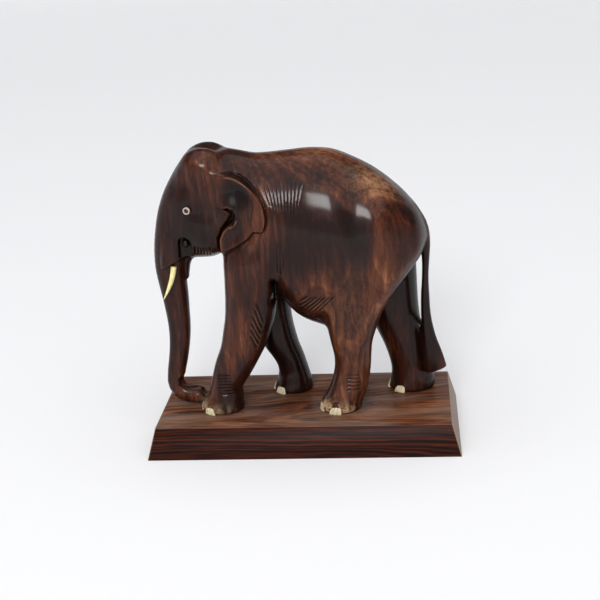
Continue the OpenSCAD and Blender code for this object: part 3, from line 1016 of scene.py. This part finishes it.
tone_and_shade_spots = [
    (-34, -28, 92, 9, 20, 32, 0.34),
    (-40, -26, 46, 10, 20, 26, 0.3),
    (34, -28, 44, 18, 22, 30, 0.3),
    (30, -30, 80, 24, 20, 16, 0.42),
    (60, -24, 104, 14, 20, 24, 0.4),
    (50, -20, 146, 14, 16, 12, 0.65),
    (8, 0, 168, 36, 24, 9, 0.6),
    (-20, -24, 138, 7, 12, 20, 0.45),
    (20, -34, 126, 22, 12, 12, -0.22),
    (22, -30, 96, 12, 14, 10, 0.22),
    # painted shade: the far legs and the tail, set back under the body, are darkened
    (68, 18, 40, 22, 20, 60, -0.45),
    (-14, 18, 40, 18, 18, 50, -0.45),
    (80, 3, 70, 12, 10, 60, -0.4),
    (-60, -20, 146, 12, 12, 16, -0.15),
    (-84, 0, 60, 12, 12, 60, -0.1),
    (-58, -20, 122, 15, 12, 24, -0.42),
    (-59, -16, 107, 7, 9, 5, -0.3),
    (2, -34, 112, 15, 12, 22, -0.18),
    (38, -34, 118, 9, 12, 20, -0.2),
    (-74, -10, 140, 10, 12, 24, -0.22),
    (-20, -26, 108, 10, 14, 12, -0.2),
    # painted shade: the mouth's pockets and the ear's hollow are darkened
    (-71, -10, 108, 6, 9, 8, -0.9),
    (-71, 10, 108, 6, 9, 8, -0.9),
    (-34, -26, 146, 7.5, 8, 8, -0.75),
]
# where the oil has worn off: the foot rims, the top of the rump and, faintly, the thigh
faded_spots = [
    (12, -24, 3, 7, 9, 5, 1.0),
    (23, -31, 2.5, 13, 6, 4.5, 1.0),
    (-67, -20, 3, 5, 9, 5, 0.8),
    (-56, -29, 2, 9, 6, 4, 0.5),
    (46, -16, 152, 12, 12, 9, 0.26),
    (58, -12, 146, 10, 12, 9, 0.22),
    (34, -34, 70, 14, 14, 30, 0.05),
]
warmth_and_painted_shade = spots_on_skin(tone_and_shade_spots)
point_attribute(elephant, "warmth_and_painted_shade", warmth_and_painted_shade)
point_attribute(elephant, "faded", spots_on_skin(faded_spots))
print("warmth from", round(float(warmth_and_painted_shade.min()), 2), "to", round(float(warmth_and_painted_shade.max()), 2))

# %% Grain of the carving: rosewood, oiled and waxed
# Widths in mm. Rosewood's pores are about 0.2 mm wide, and are drawn coarser, so that they show.
STREAK = 2.94
CLOUD = 29.4
WANDER = 33.3
YEAR_RING = 3.85
BARE_BLOTCH = 3.57
PORE = 0.625

carving_wood = shader("oiled_rosewood_upright_grain")
place = add_node(carving_wood, "ShaderNodeTexCoord").outputs["Object"]
# Upright streaks: a noise drawn out to about eight times its width along the grain.
streak_place = add_node(
    carving_wood, "ShaderNodeMapping", _0=place, Rotation=(0.06, -0.05, 0.0), Scale=(1.0, 1.0, 0.13)
)
streaks = add_node(
    carving_wood, "ShaderNodeTexNoise", Vector=streak_place.outputs[0], Scale=per_metre(STREAK),
    Detail=7.0, Roughness=0.7, Distortion=0.4,
)
cloud_place = add_node(carving_wood, "ShaderNodeMapping", _0=place, Scale=(1.0, 1.0, 0.4))
clouds = add_node(
    carving_wood, "ShaderNodeTexNoise", Vector=cloud_place.outputs[0], Scale=per_metre(CLOUD),
    Detail=3.0, Roughness=0.5, Distortion=0.5,
)
# Year rings: a noise of the distance from the pith, which stands upright and wanders a little.
wander = add_node(
    carving_wood, "ShaderNodeTexNoise", Vector=cloud_place.outputs[0], Scale=per_metre(WANDER),
    Detail=2.0,
)
wander_off = add_node(
    carving_wood, "ShaderNodeVectorMath", {"operation": "MULTIPLY_ADD"},
    _0=wander.outputs["Color"], _1=(0.02, 0.02, 0.0), _2=place,
)
pith_place = add_node(
    carving_wood, "ShaderNodeMapping", _0=wander_off.outputs[0],
    Location=(-0.045, -0.035, 0.0), Rotation=(0.1, 0.12, 0.0), Scale=(1.0, 1.0, 0.0),
)
from_pith = add_node(
    carving_wood, "ShaderNodeVectorMath", {"operation": "LENGTH"}, _0=pith_place.outputs[0]
)
year_rings = add_node(
    carving_wood, "ShaderNodeTexNoise", {"noise_dimensions": "1D"},
    W=from_pith.outputs["Value"], Scale=per_metre(YEAR_RING), Detail=4.0, Roughness=0.65,
)
grain = add_node(
    carving_wood, "ShaderNodeMix", {"data_type": "FLOAT"},
    Factor=0.34, _2=streaks.outputs["Fac"], _3=year_rings.outputs["Fac"],
)

# %% Colour of the carving
# Tone = 0.42 * warmth (which also holds the painted shade) + 0.76 * clouds - 0.38, and it shifts the
# grain up or down the colour ramp.
skin_numbers = {}
for name in ("warmth_and_painted_shade", "hollow", "ridge", "faded"):
    skin_number = add_node(carving_wood, "ShaderNodeAttribute", {"attribute_name": name})
    skin_numbers[name] = skin_number.outputs["Fac"]
cloud_tone = add_node(
    carving_wood, "ShaderNodeMath", {"operation": "MULTIPLY_ADD"},
    _0=clouds.outputs["Fac"], _1=0.76, _2=-0.38,
)
tone = add_node(
    carving_wood, "ShaderNodeMath", {"operation": "MULTIPLY_ADD"},
    _0=skin_numbers["warmth_and_painted_shade"], _1=0.42, _2=cloud_tone.outputs[0],
)
figure = add_node(
    carving_wood, "ShaderNodeMath", {"operation": "ADD"}, _0=grain.outputs[0], _1=tone.outputs[0]
)
wood_ramp = add_node(carving_wood, "ShaderNodeValToRGB", Fac=figure.outputs[0])
wood_stops = [(0.25, "#110604"), (0.42, "#1e0b07"), (0.55, "#32160d"), (0.69, "#502917")]
wood_stops.append((0.90, "#85563a"))
wood_colour = ramp_stops(wood_ramp, wood_stops)

# %% Dirt and painted shade, wear and painted highlight, and bare wood of the carving
# Dirt and painted shade darken the hollows, polish wear and a painted highlight lighten the ridges,
# and bare wood shows in pale blotches.
half_ridge_wear_and_highlight = add_node(
    carving_wood, "ShaderNodeMath", {"operation": "MULTIPLY"}, _0=skin_numbers["ridge"], _1=0.5
)
blotches = add_node(
    carving_wood, "ShaderNodeTexNoise", Vector=place, Scale=per_metre(BARE_BLOTCH), Detail=5.0,
    Roughness=0.7,
)
bare_figure = add_node(
    carving_wood, "ShaderNodeMix", {"data_type": "FLOAT"},
    Factor=0.55, _2=grain.outputs[0], _3=blotches.outputs["Fac"],
)
bare = add_node(carving_wood, "ShaderNodeMapRange", _0=bare_figure.outputs[0], _1=0.43, _2=0.55)
bare_share = add_node(
    carving_wood, "ShaderNodeMath", {"operation": "MULTIPLY"},
    _0=bare.outputs[0], _1=skin_numbers["faded"],
)
# hollow: near-black #0c0605, dirt and painted shade; ridge: #8b5c3c, wear and a painted highlight;
# faded: bare wood
layers = [
    (skin_numbers["hollow"], "#0c0605"),
    (half_ridge_wear_and_highlight.outputs[0], "#8b5c3c"),
    (bare_share.outputs[0], "#b3926f"),
]
for share, colour in layers:
    layer = add_node(
        carving_wood, "ShaderNodeMix", {"data_type": "RGBA"},
        Factor=share, _6=wood_colour, _7=paint(colour),
    )
    wood_colour = layer.outputs[2]

# %% Shine of the carving
# The pores are duller than the wood between them. Wax over it all gives a thin, clear shine, which
# the coat stands for.
pore_place = add_node(carving_wood, "ShaderNodeMapping", _0=place, Scale=(1.0, 1.0, 0.08))
pores = add_node(
    carving_wood, "ShaderNodeTexNoise", Vector=pore_place.outputs[0], Scale=per_metre(PORE),
    Detail=2.0, Roughness=0.6,
)
gloss = add_node(
    carving_wood, "ShaderNodeMapRange", _0=pores.outputs["Fac"], _1=0.3, _2=0.7, _3=0.34, _4=0.46
)
relief = add_node(
    carving_wood, "ShaderNodeBump", Strength=0.25, Distance=0.0002, Height=pores.outputs["Fac"]
)
finish_with(
    carving_wood,
    Base_Color=wood_colour,
    Roughness=gloss.outputs[0],
    IOR=1.5,
    Specular_IOR_Level=0.07,
    Normal=relief.outputs[0],
    Coat_Weight=0.3,
    Coat_Roughness=0.14,
    Coat_IOR=1.5,
)
print("carving's material has", len(carving_wood.node_tree.nodes), "nodes")

# %% Carving in its place
elephant.data.materials.clear()
elephant.data.materials.append(carving_wood)
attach(elephant, "root")
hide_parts("carved_elephant")

# %% [markdown]
# ## Tusks, eyes and nails
#
# The inlays are bone, cut and polished. Bone is pale, fairly shiny and a little see-through at its
# surface, with fine darker flecks along its length. The tusks are the yellowest and the most
# polished, the eye rings are dulled by the oil round them, and the nails are worn and plain.

# %% Bone
# Bone's own canals are finer than this, in mm, and are drawn as coarse as shows.
BONE_FLECK = 1.11


def bone(name, pale, dark, roughness):
    """Polished bone: pale, with fine darker flecks along its length, and a soft shine."""
    material = shader(name)
    coordinates = add_node(material, "ShaderNodeTexCoord").outputs["Object"]
    stretched = add_node(material, "ShaderNodeMapping", _0=coordinates, Scale=(1.0, 1.0, 0.25))
    flecks = add_node(
        material, "ShaderNodeTexNoise", Vector=stretched.outputs[0], Scale=per_metre(BONE_FLECK),
        Detail=3.0,
    )
    ramp = add_node(material, "ShaderNodeValToRGB", Fac=flecks.outputs["Fac"])
    colour = ramp_stops(ramp, [(0.3, dark), (0.55, pale)])
    relief = add_node(
        material, "ShaderNodeBump", Strength=0.2, Distance=0.0001, Height=flecks.outputs["Fac"]
    )
    return finish_with(
        material,
        Base_Color=colour,
        Roughness=roughness,
        IOR=1.54,
        Normal=relief.outputs[0],
        Subsurface_Weight=0.1,
        Subsurface_Scale=0.001,
    )


tusk_bone = bone("polished_bone_tusk", "#eadf9f", "#cbb878", 0.3)
ring_bone = bone("bone_eye_ring", "#b9a79c", "#8f7a6f", 0.35)
nail_bone = bone("bone_nail", "#cfc3a4", "#a5946f", 0.45)
print("bone in three finishes")

# %% [markdown]
# A tusk is a slim curved cone: a round profile carried along a bent path, from a root inside the
# cheek to the tip.


# %% Tusks
def carried(path, half_u, half_v, way_u, way_v, around=24):
    """A closed tube: at each point of the path, point + cos(a) half_u way_u + sin(a) half_v way_v,
    with its first and last rings drawn in to a point."""
    turn = np.linspace(0, 2 * math.pi, around, endpoint=False)[None, :, None]
    rings = path[:, None, :] + np.cos(turn) * half_u[:, None, None] * way_u[:, None, :]
    rings = rings + np.sin(turn) * half_v[:, None, None] * way_v[:, None, :]
    count = len(path)
    points = np.concatenate([rings.reshape(-1, 3), path[:1], path[-1:]])
    quads = grid_faces(count, around)
    ring = np.arange(around)
    onward = (ring + 1) % around
    first = np.stack([onward, ring, np.full(around, count * around)], 1)
    last_ring = (count - 1) * around
    last = np.stack([last_ring + ring, last_ring + onward, np.full(around, count * around + 1)], 1)
    triangles = np.concatenate([first, last])
    quads = np.concatenate([quads[:, [0, 1, 2]], quads[:, [0, 2, 3]]])
    return points, np.concatenate([quads, triangles])


TUSK_ROOT = np.array([-79.8, 13.0, 97.5])
TUSK_BEND = np.array([-82.4, 13.6, 87.3])
TUSK_TIP = np.array([-88.0, 15.2, 76.0])
TUSK_ROWS = 22
TUSK_R = 1.72
TIP_R = 0.12

for side_name, side in SIDES.items():
    mirror = np.array([1.0, side, 1.0])
    t = np.linspace(0, 1, TUSK_ROWS)[:, None]
    root, bend, tip = TUSK_ROOT * mirror, TUSK_BEND * mirror, TUSK_TIP * mirror
    pull = 2 * bend - (root + tip) / 2
    path = (1 - t) ** 2 * root + 2 * t * (1 - t) * pull + t * t * tip
    heading = np.gradient(path, axis=0)
    heading /= np.linalg.norm(heading, axis=1)[:, None]
    sideways = np.cross(heading, [0.0, 1.0, 0.0])
    sideways /= np.linalg.norm(sideways, axis=1)[:, None]
    across_way = np.cross(heading, sideways)
    girth = TUSK_R * (1 - t.ravel() ** 2.6) * (1 - 0.12 * t.ravel()) + TIP_R
    points, faces = carried(path, girth, girth, sideways, across_way)
    tusk = mesh_piece("tusk_" + side_name + "_bone", on_plinth(points), faces)
    tusk.data.materials.append(tusk_bone)
    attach(tusk, "root")
    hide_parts("tusk_" + side_name)
print("tusks made")

# %% [markdown]
# An eye is a bone ring with a rounded face and a dark horn pupil in it. The ring is a turned
# shape: a profile spun round the eye's own axis, which looks out of the cheek and a little
# forward. The pupil is a peg carried along the same axis, which narrows to a domed face. Horn is
# nearly black with brown clouds, and its polish gives the eye its spark.

# %% Eyes
HORN_CLOUD = 0.833

pupil_horn = shader("dark_horn_pupil")
horn_place = add_node(pupil_horn, "ShaderNodeTexCoord").outputs["Object"]
horn_cloud = add_node(
    pupil_horn, "ShaderNodeTexNoise", Vector=horn_place, Scale=per_metre(HORN_CLOUD), Detail=2.0
)
horn_ramp = add_node(pupil_horn, "ShaderNodeValToRGB", Fac=horn_cloud.outputs["Fac"])
horn_colour = ramp_stops(horn_ramp, [(0.35, "#0c0605"), (0.7, "#23120c")])
finish_with(pupil_horn, Base_Color=horn_colour, Roughness=0.18, IOR=1.55)

EYE_AT = (-67.0, 135.9)
EYE_OUT = 21.3
EYE_TURN = math.radians(12)
EYE_AROUND = 40
# The ring's wall has its middle at this radius and is twice this half width.
RING_R = 1.85
RING_HALF = 0.48
PUPIL_R = 1.36
PEG_DEPTH = 1.6


def turned(profile, middle, axis, around):
    """Points middle + radius * (cos(a) u + sin(a) v) + height * axis, for each (radius, height) of
    the profile, where u and v are square to the axis."""
    axis = np.array(axis, float)
    first = np.cross(axis, [0.0, 0.0, 1.0])
    first /= np.linalg.norm(first)
    second = np.cross(axis, first)
    profile = np.asarray(profile, float)
    turn = np.linspace(0, 2 * math.pi, around, endpoint=False)[None, :, None]
    spoke = np.cos(turn) * first + np.sin(turn) * second
    rings = middle + profile[:, 0, None, None] * spoke + profile[:, 1, None, None] * axis
    return rings.reshape(-1, 3)


for side_name, side in SIDES.items():
    axis = (-math.sin(EYE_TURN), side * math.cos(EYE_TURN), 0.0)
    middle = np.array([EYE_AT[0], side * EYE_OUT, EYE_AT[1]])
    bow = np.linspace(0, math.pi, 9)
    face_rows = np.stack([RING_R + RING_HALF * np.cos(bow), -0.1 + 0.42 * np.sin(bow)], 1)
    outer_foot, inner_foot = [[RING_R + RING_HALF, -PEG_DEPTH]], [[RING_R - RING_HALF, -PEG_DEPTH]]
    ring_rows = np.concatenate([outer_foot, face_rows, inner_foot])
    points = turned(ring_rows, middle, axis, EYE_AROUND)
    faces = grid_faces(len(ring_rows) + 1, EYE_AROUND) % len(points)
    ring = mesh_piece("eye_ring_" + side_name + "_bone", on_plinth(points), faces)
    ring.data.materials.append(ring_bone)
    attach(ring, "root")
    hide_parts("eye_ring_" + side_name)

    rise_angle = np.linspace(0, 0.47 * math.pi, 8)
    girth = PUPIL_R * np.concatenate([[1.0], np.cos(rise_angle)])
    height = np.concatenate([[-PEG_DEPTH], -0.2 + 0.45 * np.sin(rise_angle)])
    spoke = np.cross(axis, [0.0, 0.0, 1.0])
    spoke /= np.linalg.norm(spoke)
    spokes = np.tile(spoke, (len(girth), 1))
    other_spokes = np.tile(np.cross(axis, spoke), (len(girth), 1))
    path = middle + height[:, None] * np.array(axis)
    points, faces = carried(path, girth, girth, spokes, other_spokes, EYE_AROUND)
    pupil = mesh_piece("eye_pupil_" + side_name + "_horn", on_plinth(points), faces)
    pupil.data.materials.append(pupil_horn)
    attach(pupil, "root")
    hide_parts("eye_pupil_" + side_name)
print("eyes made")

# %% [markdown]
# A nail is a half-moon of bone that follows the foot's curve, stands a little proud of it, and
# reaches down to the sole. Across it runs s from nearly -1 to nearly 1, because the corners would
# be slivers, and up it runs t from 0 to 1.

# %% Nails
NAIL_W = 8.4
NAIL_H = 5.2
NAIL_SWELL = 0.5
NAIL_SINK = 2.0
NAIL_ACROSS = 17
NAIL_UP = 9
CORNER = 0.985
TOE_APART = 60
foot_turn = {"front_left": -5, "front_right": -10, "hind_left": 15, "hind_right": -5}
toes = {"front_left": {"outer": 1, "centre": 0, "inner": -1}}
toes["hind_left"] = toes["front_left"]
toes["front_right"] = {"outer": -1, "centre": 0, "inner": 1}
toes["hind_right"] = toes["front_right"]


def nail_points(rows, angle, sunk):
    """Points of a half-moon on a foot: the turn is angle + s W / 2 / the foot's half length there,
    the height t H sqrt(1 - s^4), and the radius the foot's, plus swell sqrt((1 - s^4) (1 - t^4)),
    less 0.12 mm. A sunk one is the same half-moon 2 mm inside the foot."""
    s = np.linspace(-CORNER, CORNER, NAIL_ACROSS)
    s, t = np.meshgrid(s, np.linspace(0, 1, NAIL_UP), indexing="ij")
    height = t * NAIL_H * np.sqrt(np.clip(1 - s**4, 0, 1)) + 0.05
    x0, y0, half_x, half_y = between(rows, height.ravel()).T
    turn = angle + (s.ravel() * NAIL_W / 2) / half_x
    radius = 1 / np.hypot(np.cos(turn) / half_x, np.sin(turn) / half_y)
    swell = NAIL_SWELL * (1 - s.ravel() ** 4) ** 0.5 * (1 - t.ravel() ** 4) ** 0.5
    radius = radius - NAIL_SINK if sunk else radius + swell - 0.12
    x, y = x0 + radius * np.cos(turn), y0 + radius * np.sin(turn)
    return np.stack([x, y, height.ravel()], 1)


for foot_name, rows in leg_rows.items():
    for toe_name, toe in toes[foot_name].items():
        angle = math.radians(180 + foot_turn[foot_name] + toe * TOE_APART)
        outside = nail_points(rows, angle, False)
        inside = nail_points(rows, angle, True)
        quads = grid_faces(NAIL_ACROSS, NAIL_UP, closed=False)[:, ::-1]
        count = NAIL_ACROSS * NAIL_UP
        low = np.arange(0, count, NAIL_UP)
        high = low + NAIL_UP - 1
        left = np.arange(NAIL_UP)
        right = left + count - NAIL_UP
        rims = []
        for rim in (low, high[::-1], left[::-1], right):
            rims.append(np.stack([rim[:-1] + count, rim[1:] + count, rim[1:], rim[:-1]], 1))
        faces = np.concatenate([quads, quads[:, ::-1] + count] + rims)
        name = "nail_" + foot_name + "_" + toe_name
        nail = mesh_piece(name + "_bone", on_plinth(np.concatenate([outside, inside])), faces)
        nail.data.materials.append(nail_bone)
        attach(nail, "root")
        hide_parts(name)
print("nails made")

# %% [markdown]
# ## Plinth
#
# The plinth is a planed block with bevelled sides. Its edges have been broken with sandpaper, so
# a copy of the CAD block gets a small round on every edge.

# %% Plinth
plinth_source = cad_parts["plinth"]
plinth = bpy.data.objects.new("plinth_block", plinth_source.data.copy())
bpy.context.scene.collection.objects.link(plinth)
merged = bmesh.new()
merged.from_mesh(plinth.data)
bmesh.ops.remove_doubles(merged, verts=merged.verts, dist=1e-6)
bmesh.ops.dissolve_limit(merged, angle_limit=0.01, verts=merged.verts, edges=merged.edges)
merged.to_mesh(plinth.data)
merged.free()
broken_edges = plinth.modifiers.new("broken_edges", "BEVEL")
broken_edges.width = 0.0006
broken_edges.segments = 3
broken_edges.limit_method = "ANGLE"
broken_edges.angle_limit = math.radians(40)
broken_edges.harden_normals = True
plinth.data.polygons.foreach_set("use_smooth", np.full(len(plinth.data.polygons), True))
print("plinth:", len(plinth.data.polygons), "faces before its edges are rounded")

# %% [markdown]
# The plinth is rosewood too, sawn along the grain and waxed. Its dark rings run along it: they
# wander across the top and show as fine lines on the front bevel. The sides are darkened with
# painted shade, and the end bevels are pale, because they cut across the grain, and paler still with
# a painted reflection of the pale room. Dust and a painted sheen lie in greyish patches on the top.

# %% Grain of the plinth: rosewood, planed and waxed
# Widths in mm. The pores are drawn coarser than they are, so that they show.
BOARD_WAVE = 23.8
BOARD_RING = 1.43
DUST_AND_SHEEN = 16.7
BOARD_PORE = 0.667

plinth_wood = shader("waxed_rosewood_plinth")
place = add_node(plinth_wood, "ShaderNodeTexCoord").outputs["Object"]
board_wander = add_node(plinth_wood, "ShaderNodeMapping", _0=place, Scale=(0.25, 1.0, 1.0))
waves = add_node(
    plinth_wood, "ShaderNodeTexNoise", Vector=board_wander.outputs[0], Scale=per_metre(BOARD_WAVE),
    Detail=3.0,
)
board_off = add_node(
    plinth_wood, "ShaderNodeVectorMath", {"operation": "MULTIPLY_ADD"},
    _0=waves.outputs["Color"], _1=(0.0, 0.02, 0.006), _2=place,
)
# Year rings: a noise of the distance from the pith, which lies along the board, 60 mm below it.
board_lie = add_node(
    plinth_wood, "ShaderNodeMapping", _0=board_off.outputs[0], Rotation=(0.0, 0.02, -0.16)
)
board_pith = add_node(
    plinth_wood, "ShaderNodeMapping", _0=board_lie.outputs[0], Location=(0.0, 0.02, 0.06),
    Scale=(0.0, 1.0, 1.0),
)
from_pith = add_node(
    plinth_wood, "ShaderNodeVectorMath", {"operation": "LENGTH"}, _0=board_pith.outputs[0]
)
year_rings = add_node(
    plinth_wood, "ShaderNodeTexNoise", {"noise_dimensions": "1D"},
    W=from_pith.outputs["Value"], Scale=per_metre(BOARD_RING), Detail=3.0, Roughness=0.6,
)
board_streak = add_node(plinth_wood, "ShaderNodeMapping", _0=place, Scale=(0.06, 1.0, 1.0))
fine_streaks = add_node(
    plinth_wood, "ShaderNodeTexNoise", Vector=board_streak.outputs[0], Scale=per_metre(BOARD_RING),
    Detail=4.0,
)
board_grain = add_node(
    plinth_wood, "ShaderNodeMix", {"data_type": "FLOAT"},
    Factor=0.35, _2=year_rings.outputs["Fac"], _3=fine_streaks.outputs["Fac"],
)
ring_ramp = add_node(plinth_wood, "ShaderNodeValToRGB", Fac=board_grain.outputs[0])
board_stops = [(0.36, "#1c0b06"), (0.45, "#351709"), (0.52, "#5e2f16"), (0.64, "#8a5534")]
board_colour = ramp_stops(ring_ramp, board_stops)

# %% Painted shade on the sides, dust and painted sheen on the top, and end grain with a painted reflection
# The top starts at 19.4 to 19.9 mm. An end bevel leans in by 0.275 of its height, and the measure
# |x| + 0.275 z, in metres, is more than 0.0994 only on it.
board_xyz = add_node(plinth_wood, "ShaderNodeSeparateXYZ", _0=place)
on_top = add_node(
    plinth_wood, "ShaderNodeMapRange", _0=board_xyz.outputs["Z"], _1=0.0194, _2=0.0199
).outputs[0]
# painted shade: the sides are multiplied by #86604c and the top by white, so the sides read darker than
# the top
painted_shade_on_sides = add_node(
    plinth_wood, "ShaderNodeMix", {"data_type": "RGBA"},
    Factor=on_top, _6=paint("#86604c"), _7=paint("#ffffff"),
)
shaded_board = add_node(
    plinth_wood, "ShaderNodeMix", {"data_type": "RGBA", "blend_type": "MULTIPLY"},
    Factor=1.0, _6=board_colour, _7=painted_shade_on_sides.outputs[2],
)
# dust and a painted sheen: greyish #9c8878 patches, on the top only
dust_and_sheen_cloud = add_node(
    plinth_wood, "ShaderNodeTexNoise", Vector=board_wander.outputs[0], Scale=per_metre(DUST_AND_SHEEN), Detail=4.0
)
dust_and_sheen_patch = add_node(
    plinth_wood, "ShaderNodeMapRange", _0=dust_and_sheen_cloud.outputs["Fac"], _1=0.4, _2=0.65, _3=0.04, _4=0.34
)
dust_and_sheen_share = add_node(
    plinth_wood, "ShaderNodeMath", {"operation": "MULTIPLY"}, _0=dust_and_sheen_patch.outputs[0], _1=on_top
)
dusty_and_sheened_board = add_node(
    plinth_wood, "ShaderNodeMix", {"data_type": "RGBA"},
    Factor=dust_and_sheen_share.outputs[0], _6=shaded_board.outputs[2], _7=paint("#9c8878"),
)
sideways = add_node(
    plinth_wood, "ShaderNodeMath", {"operation": "ABSOLUTE"}, _0=board_xyz.outputs["X"]
)
end_reach = add_node(
    plinth_wood, "ShaderNodeMath", {"operation": "MULTIPLY_ADD"},
    _0=board_xyz.outputs["Z"], _1=0.275, _2=sideways.outputs[0],
)
# end grain, paler with a painted reflection: the end bevels go 0.62 of the way to #a08b77
on_end = add_node(
    plinth_wood, "ShaderNodeMapRange", _0=end_reach.outputs[0], _1=0.0994, _2=0.0999, _4=0.62
)
finished_board = add_node(
    plinth_wood, "ShaderNodeMix", {"data_type": "RGBA"},
    Factor=on_end.outputs[0], _6=dusty_and_sheened_board.outputs[2], _7=paint("#a08b77"),
)
pore_place = add_node(plinth_wood, "ShaderNodeMapping", _0=place, Scale=(0.07, 1.0, 1.0))
pores = add_node(
    plinth_wood, "ShaderNodeTexNoise", Vector=pore_place.outputs[0], Scale=per_metre(BOARD_PORE),
    Detail=2.0,
)
relief = add_node(
    plinth_wood, "ShaderNodeBump", Strength=0.3, Distance=0.0002, Height=pores.outputs["Fac"]
)
finish_with(
    plinth_wood,
    Base_Color=finished_board.outputs[2],
    Roughness=0.4,
    IOR=1.5,
    Specular_IOR_Level=0.08,
    Normal=relief.outputs[0],
)
print("plinth's material has", len(plinth_wood.node_tree.nodes), "nodes")

# %% Plinth in its place
plinth.data.materials.clear()
plinth.data.materials.append(plinth_wood)
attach(plinth, "root")
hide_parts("plinth")

# %% [markdown]
# ## Screws
#
# Four brass wood screws hold the carving from below. Their CAD shape is right, so they keep it.
# Turned brass is yellow and bright, with a fine unevenness where the tool has passed, which is
# drawn coarser than it is.

# %% Screws
TOOL_MARK = 0.667

brass = shader("turned_brass")
place = add_node(brass, "ShaderNodeTexCoord").outputs["Object"]
turning = add_node(
    brass, "ShaderNodeTexNoise", Vector=place, Scale=per_metre(TOOL_MARK), Detail=2.0
)
brass_ramp = add_node(brass, "ShaderNodeValToRGB", Fac=turning.outputs["Fac"])
brass_colour = ramp_stops(brass_ramp, [(0.35, "#9c7a3c"), (0.6, "#c9a35a")])
relief = add_node(
    brass, "ShaderNodeBump", Strength=0.2, Distance=0.0001, Height=turning.outputs["Fac"]
)
finish_with(
    brass, Base_Color=brass_colour, Metallic=1.0, Roughness=0.3, Normal=relief.outputs[0]
)
for name in ("front_left", "front_right", "hind_left", "hind_right"):
    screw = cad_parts["screw_" + name]
    screw.data.materials.clear()
    screw.data.materials.append(brass)

# %% Bring the scene up to date
bpy.context.view_layer.update()
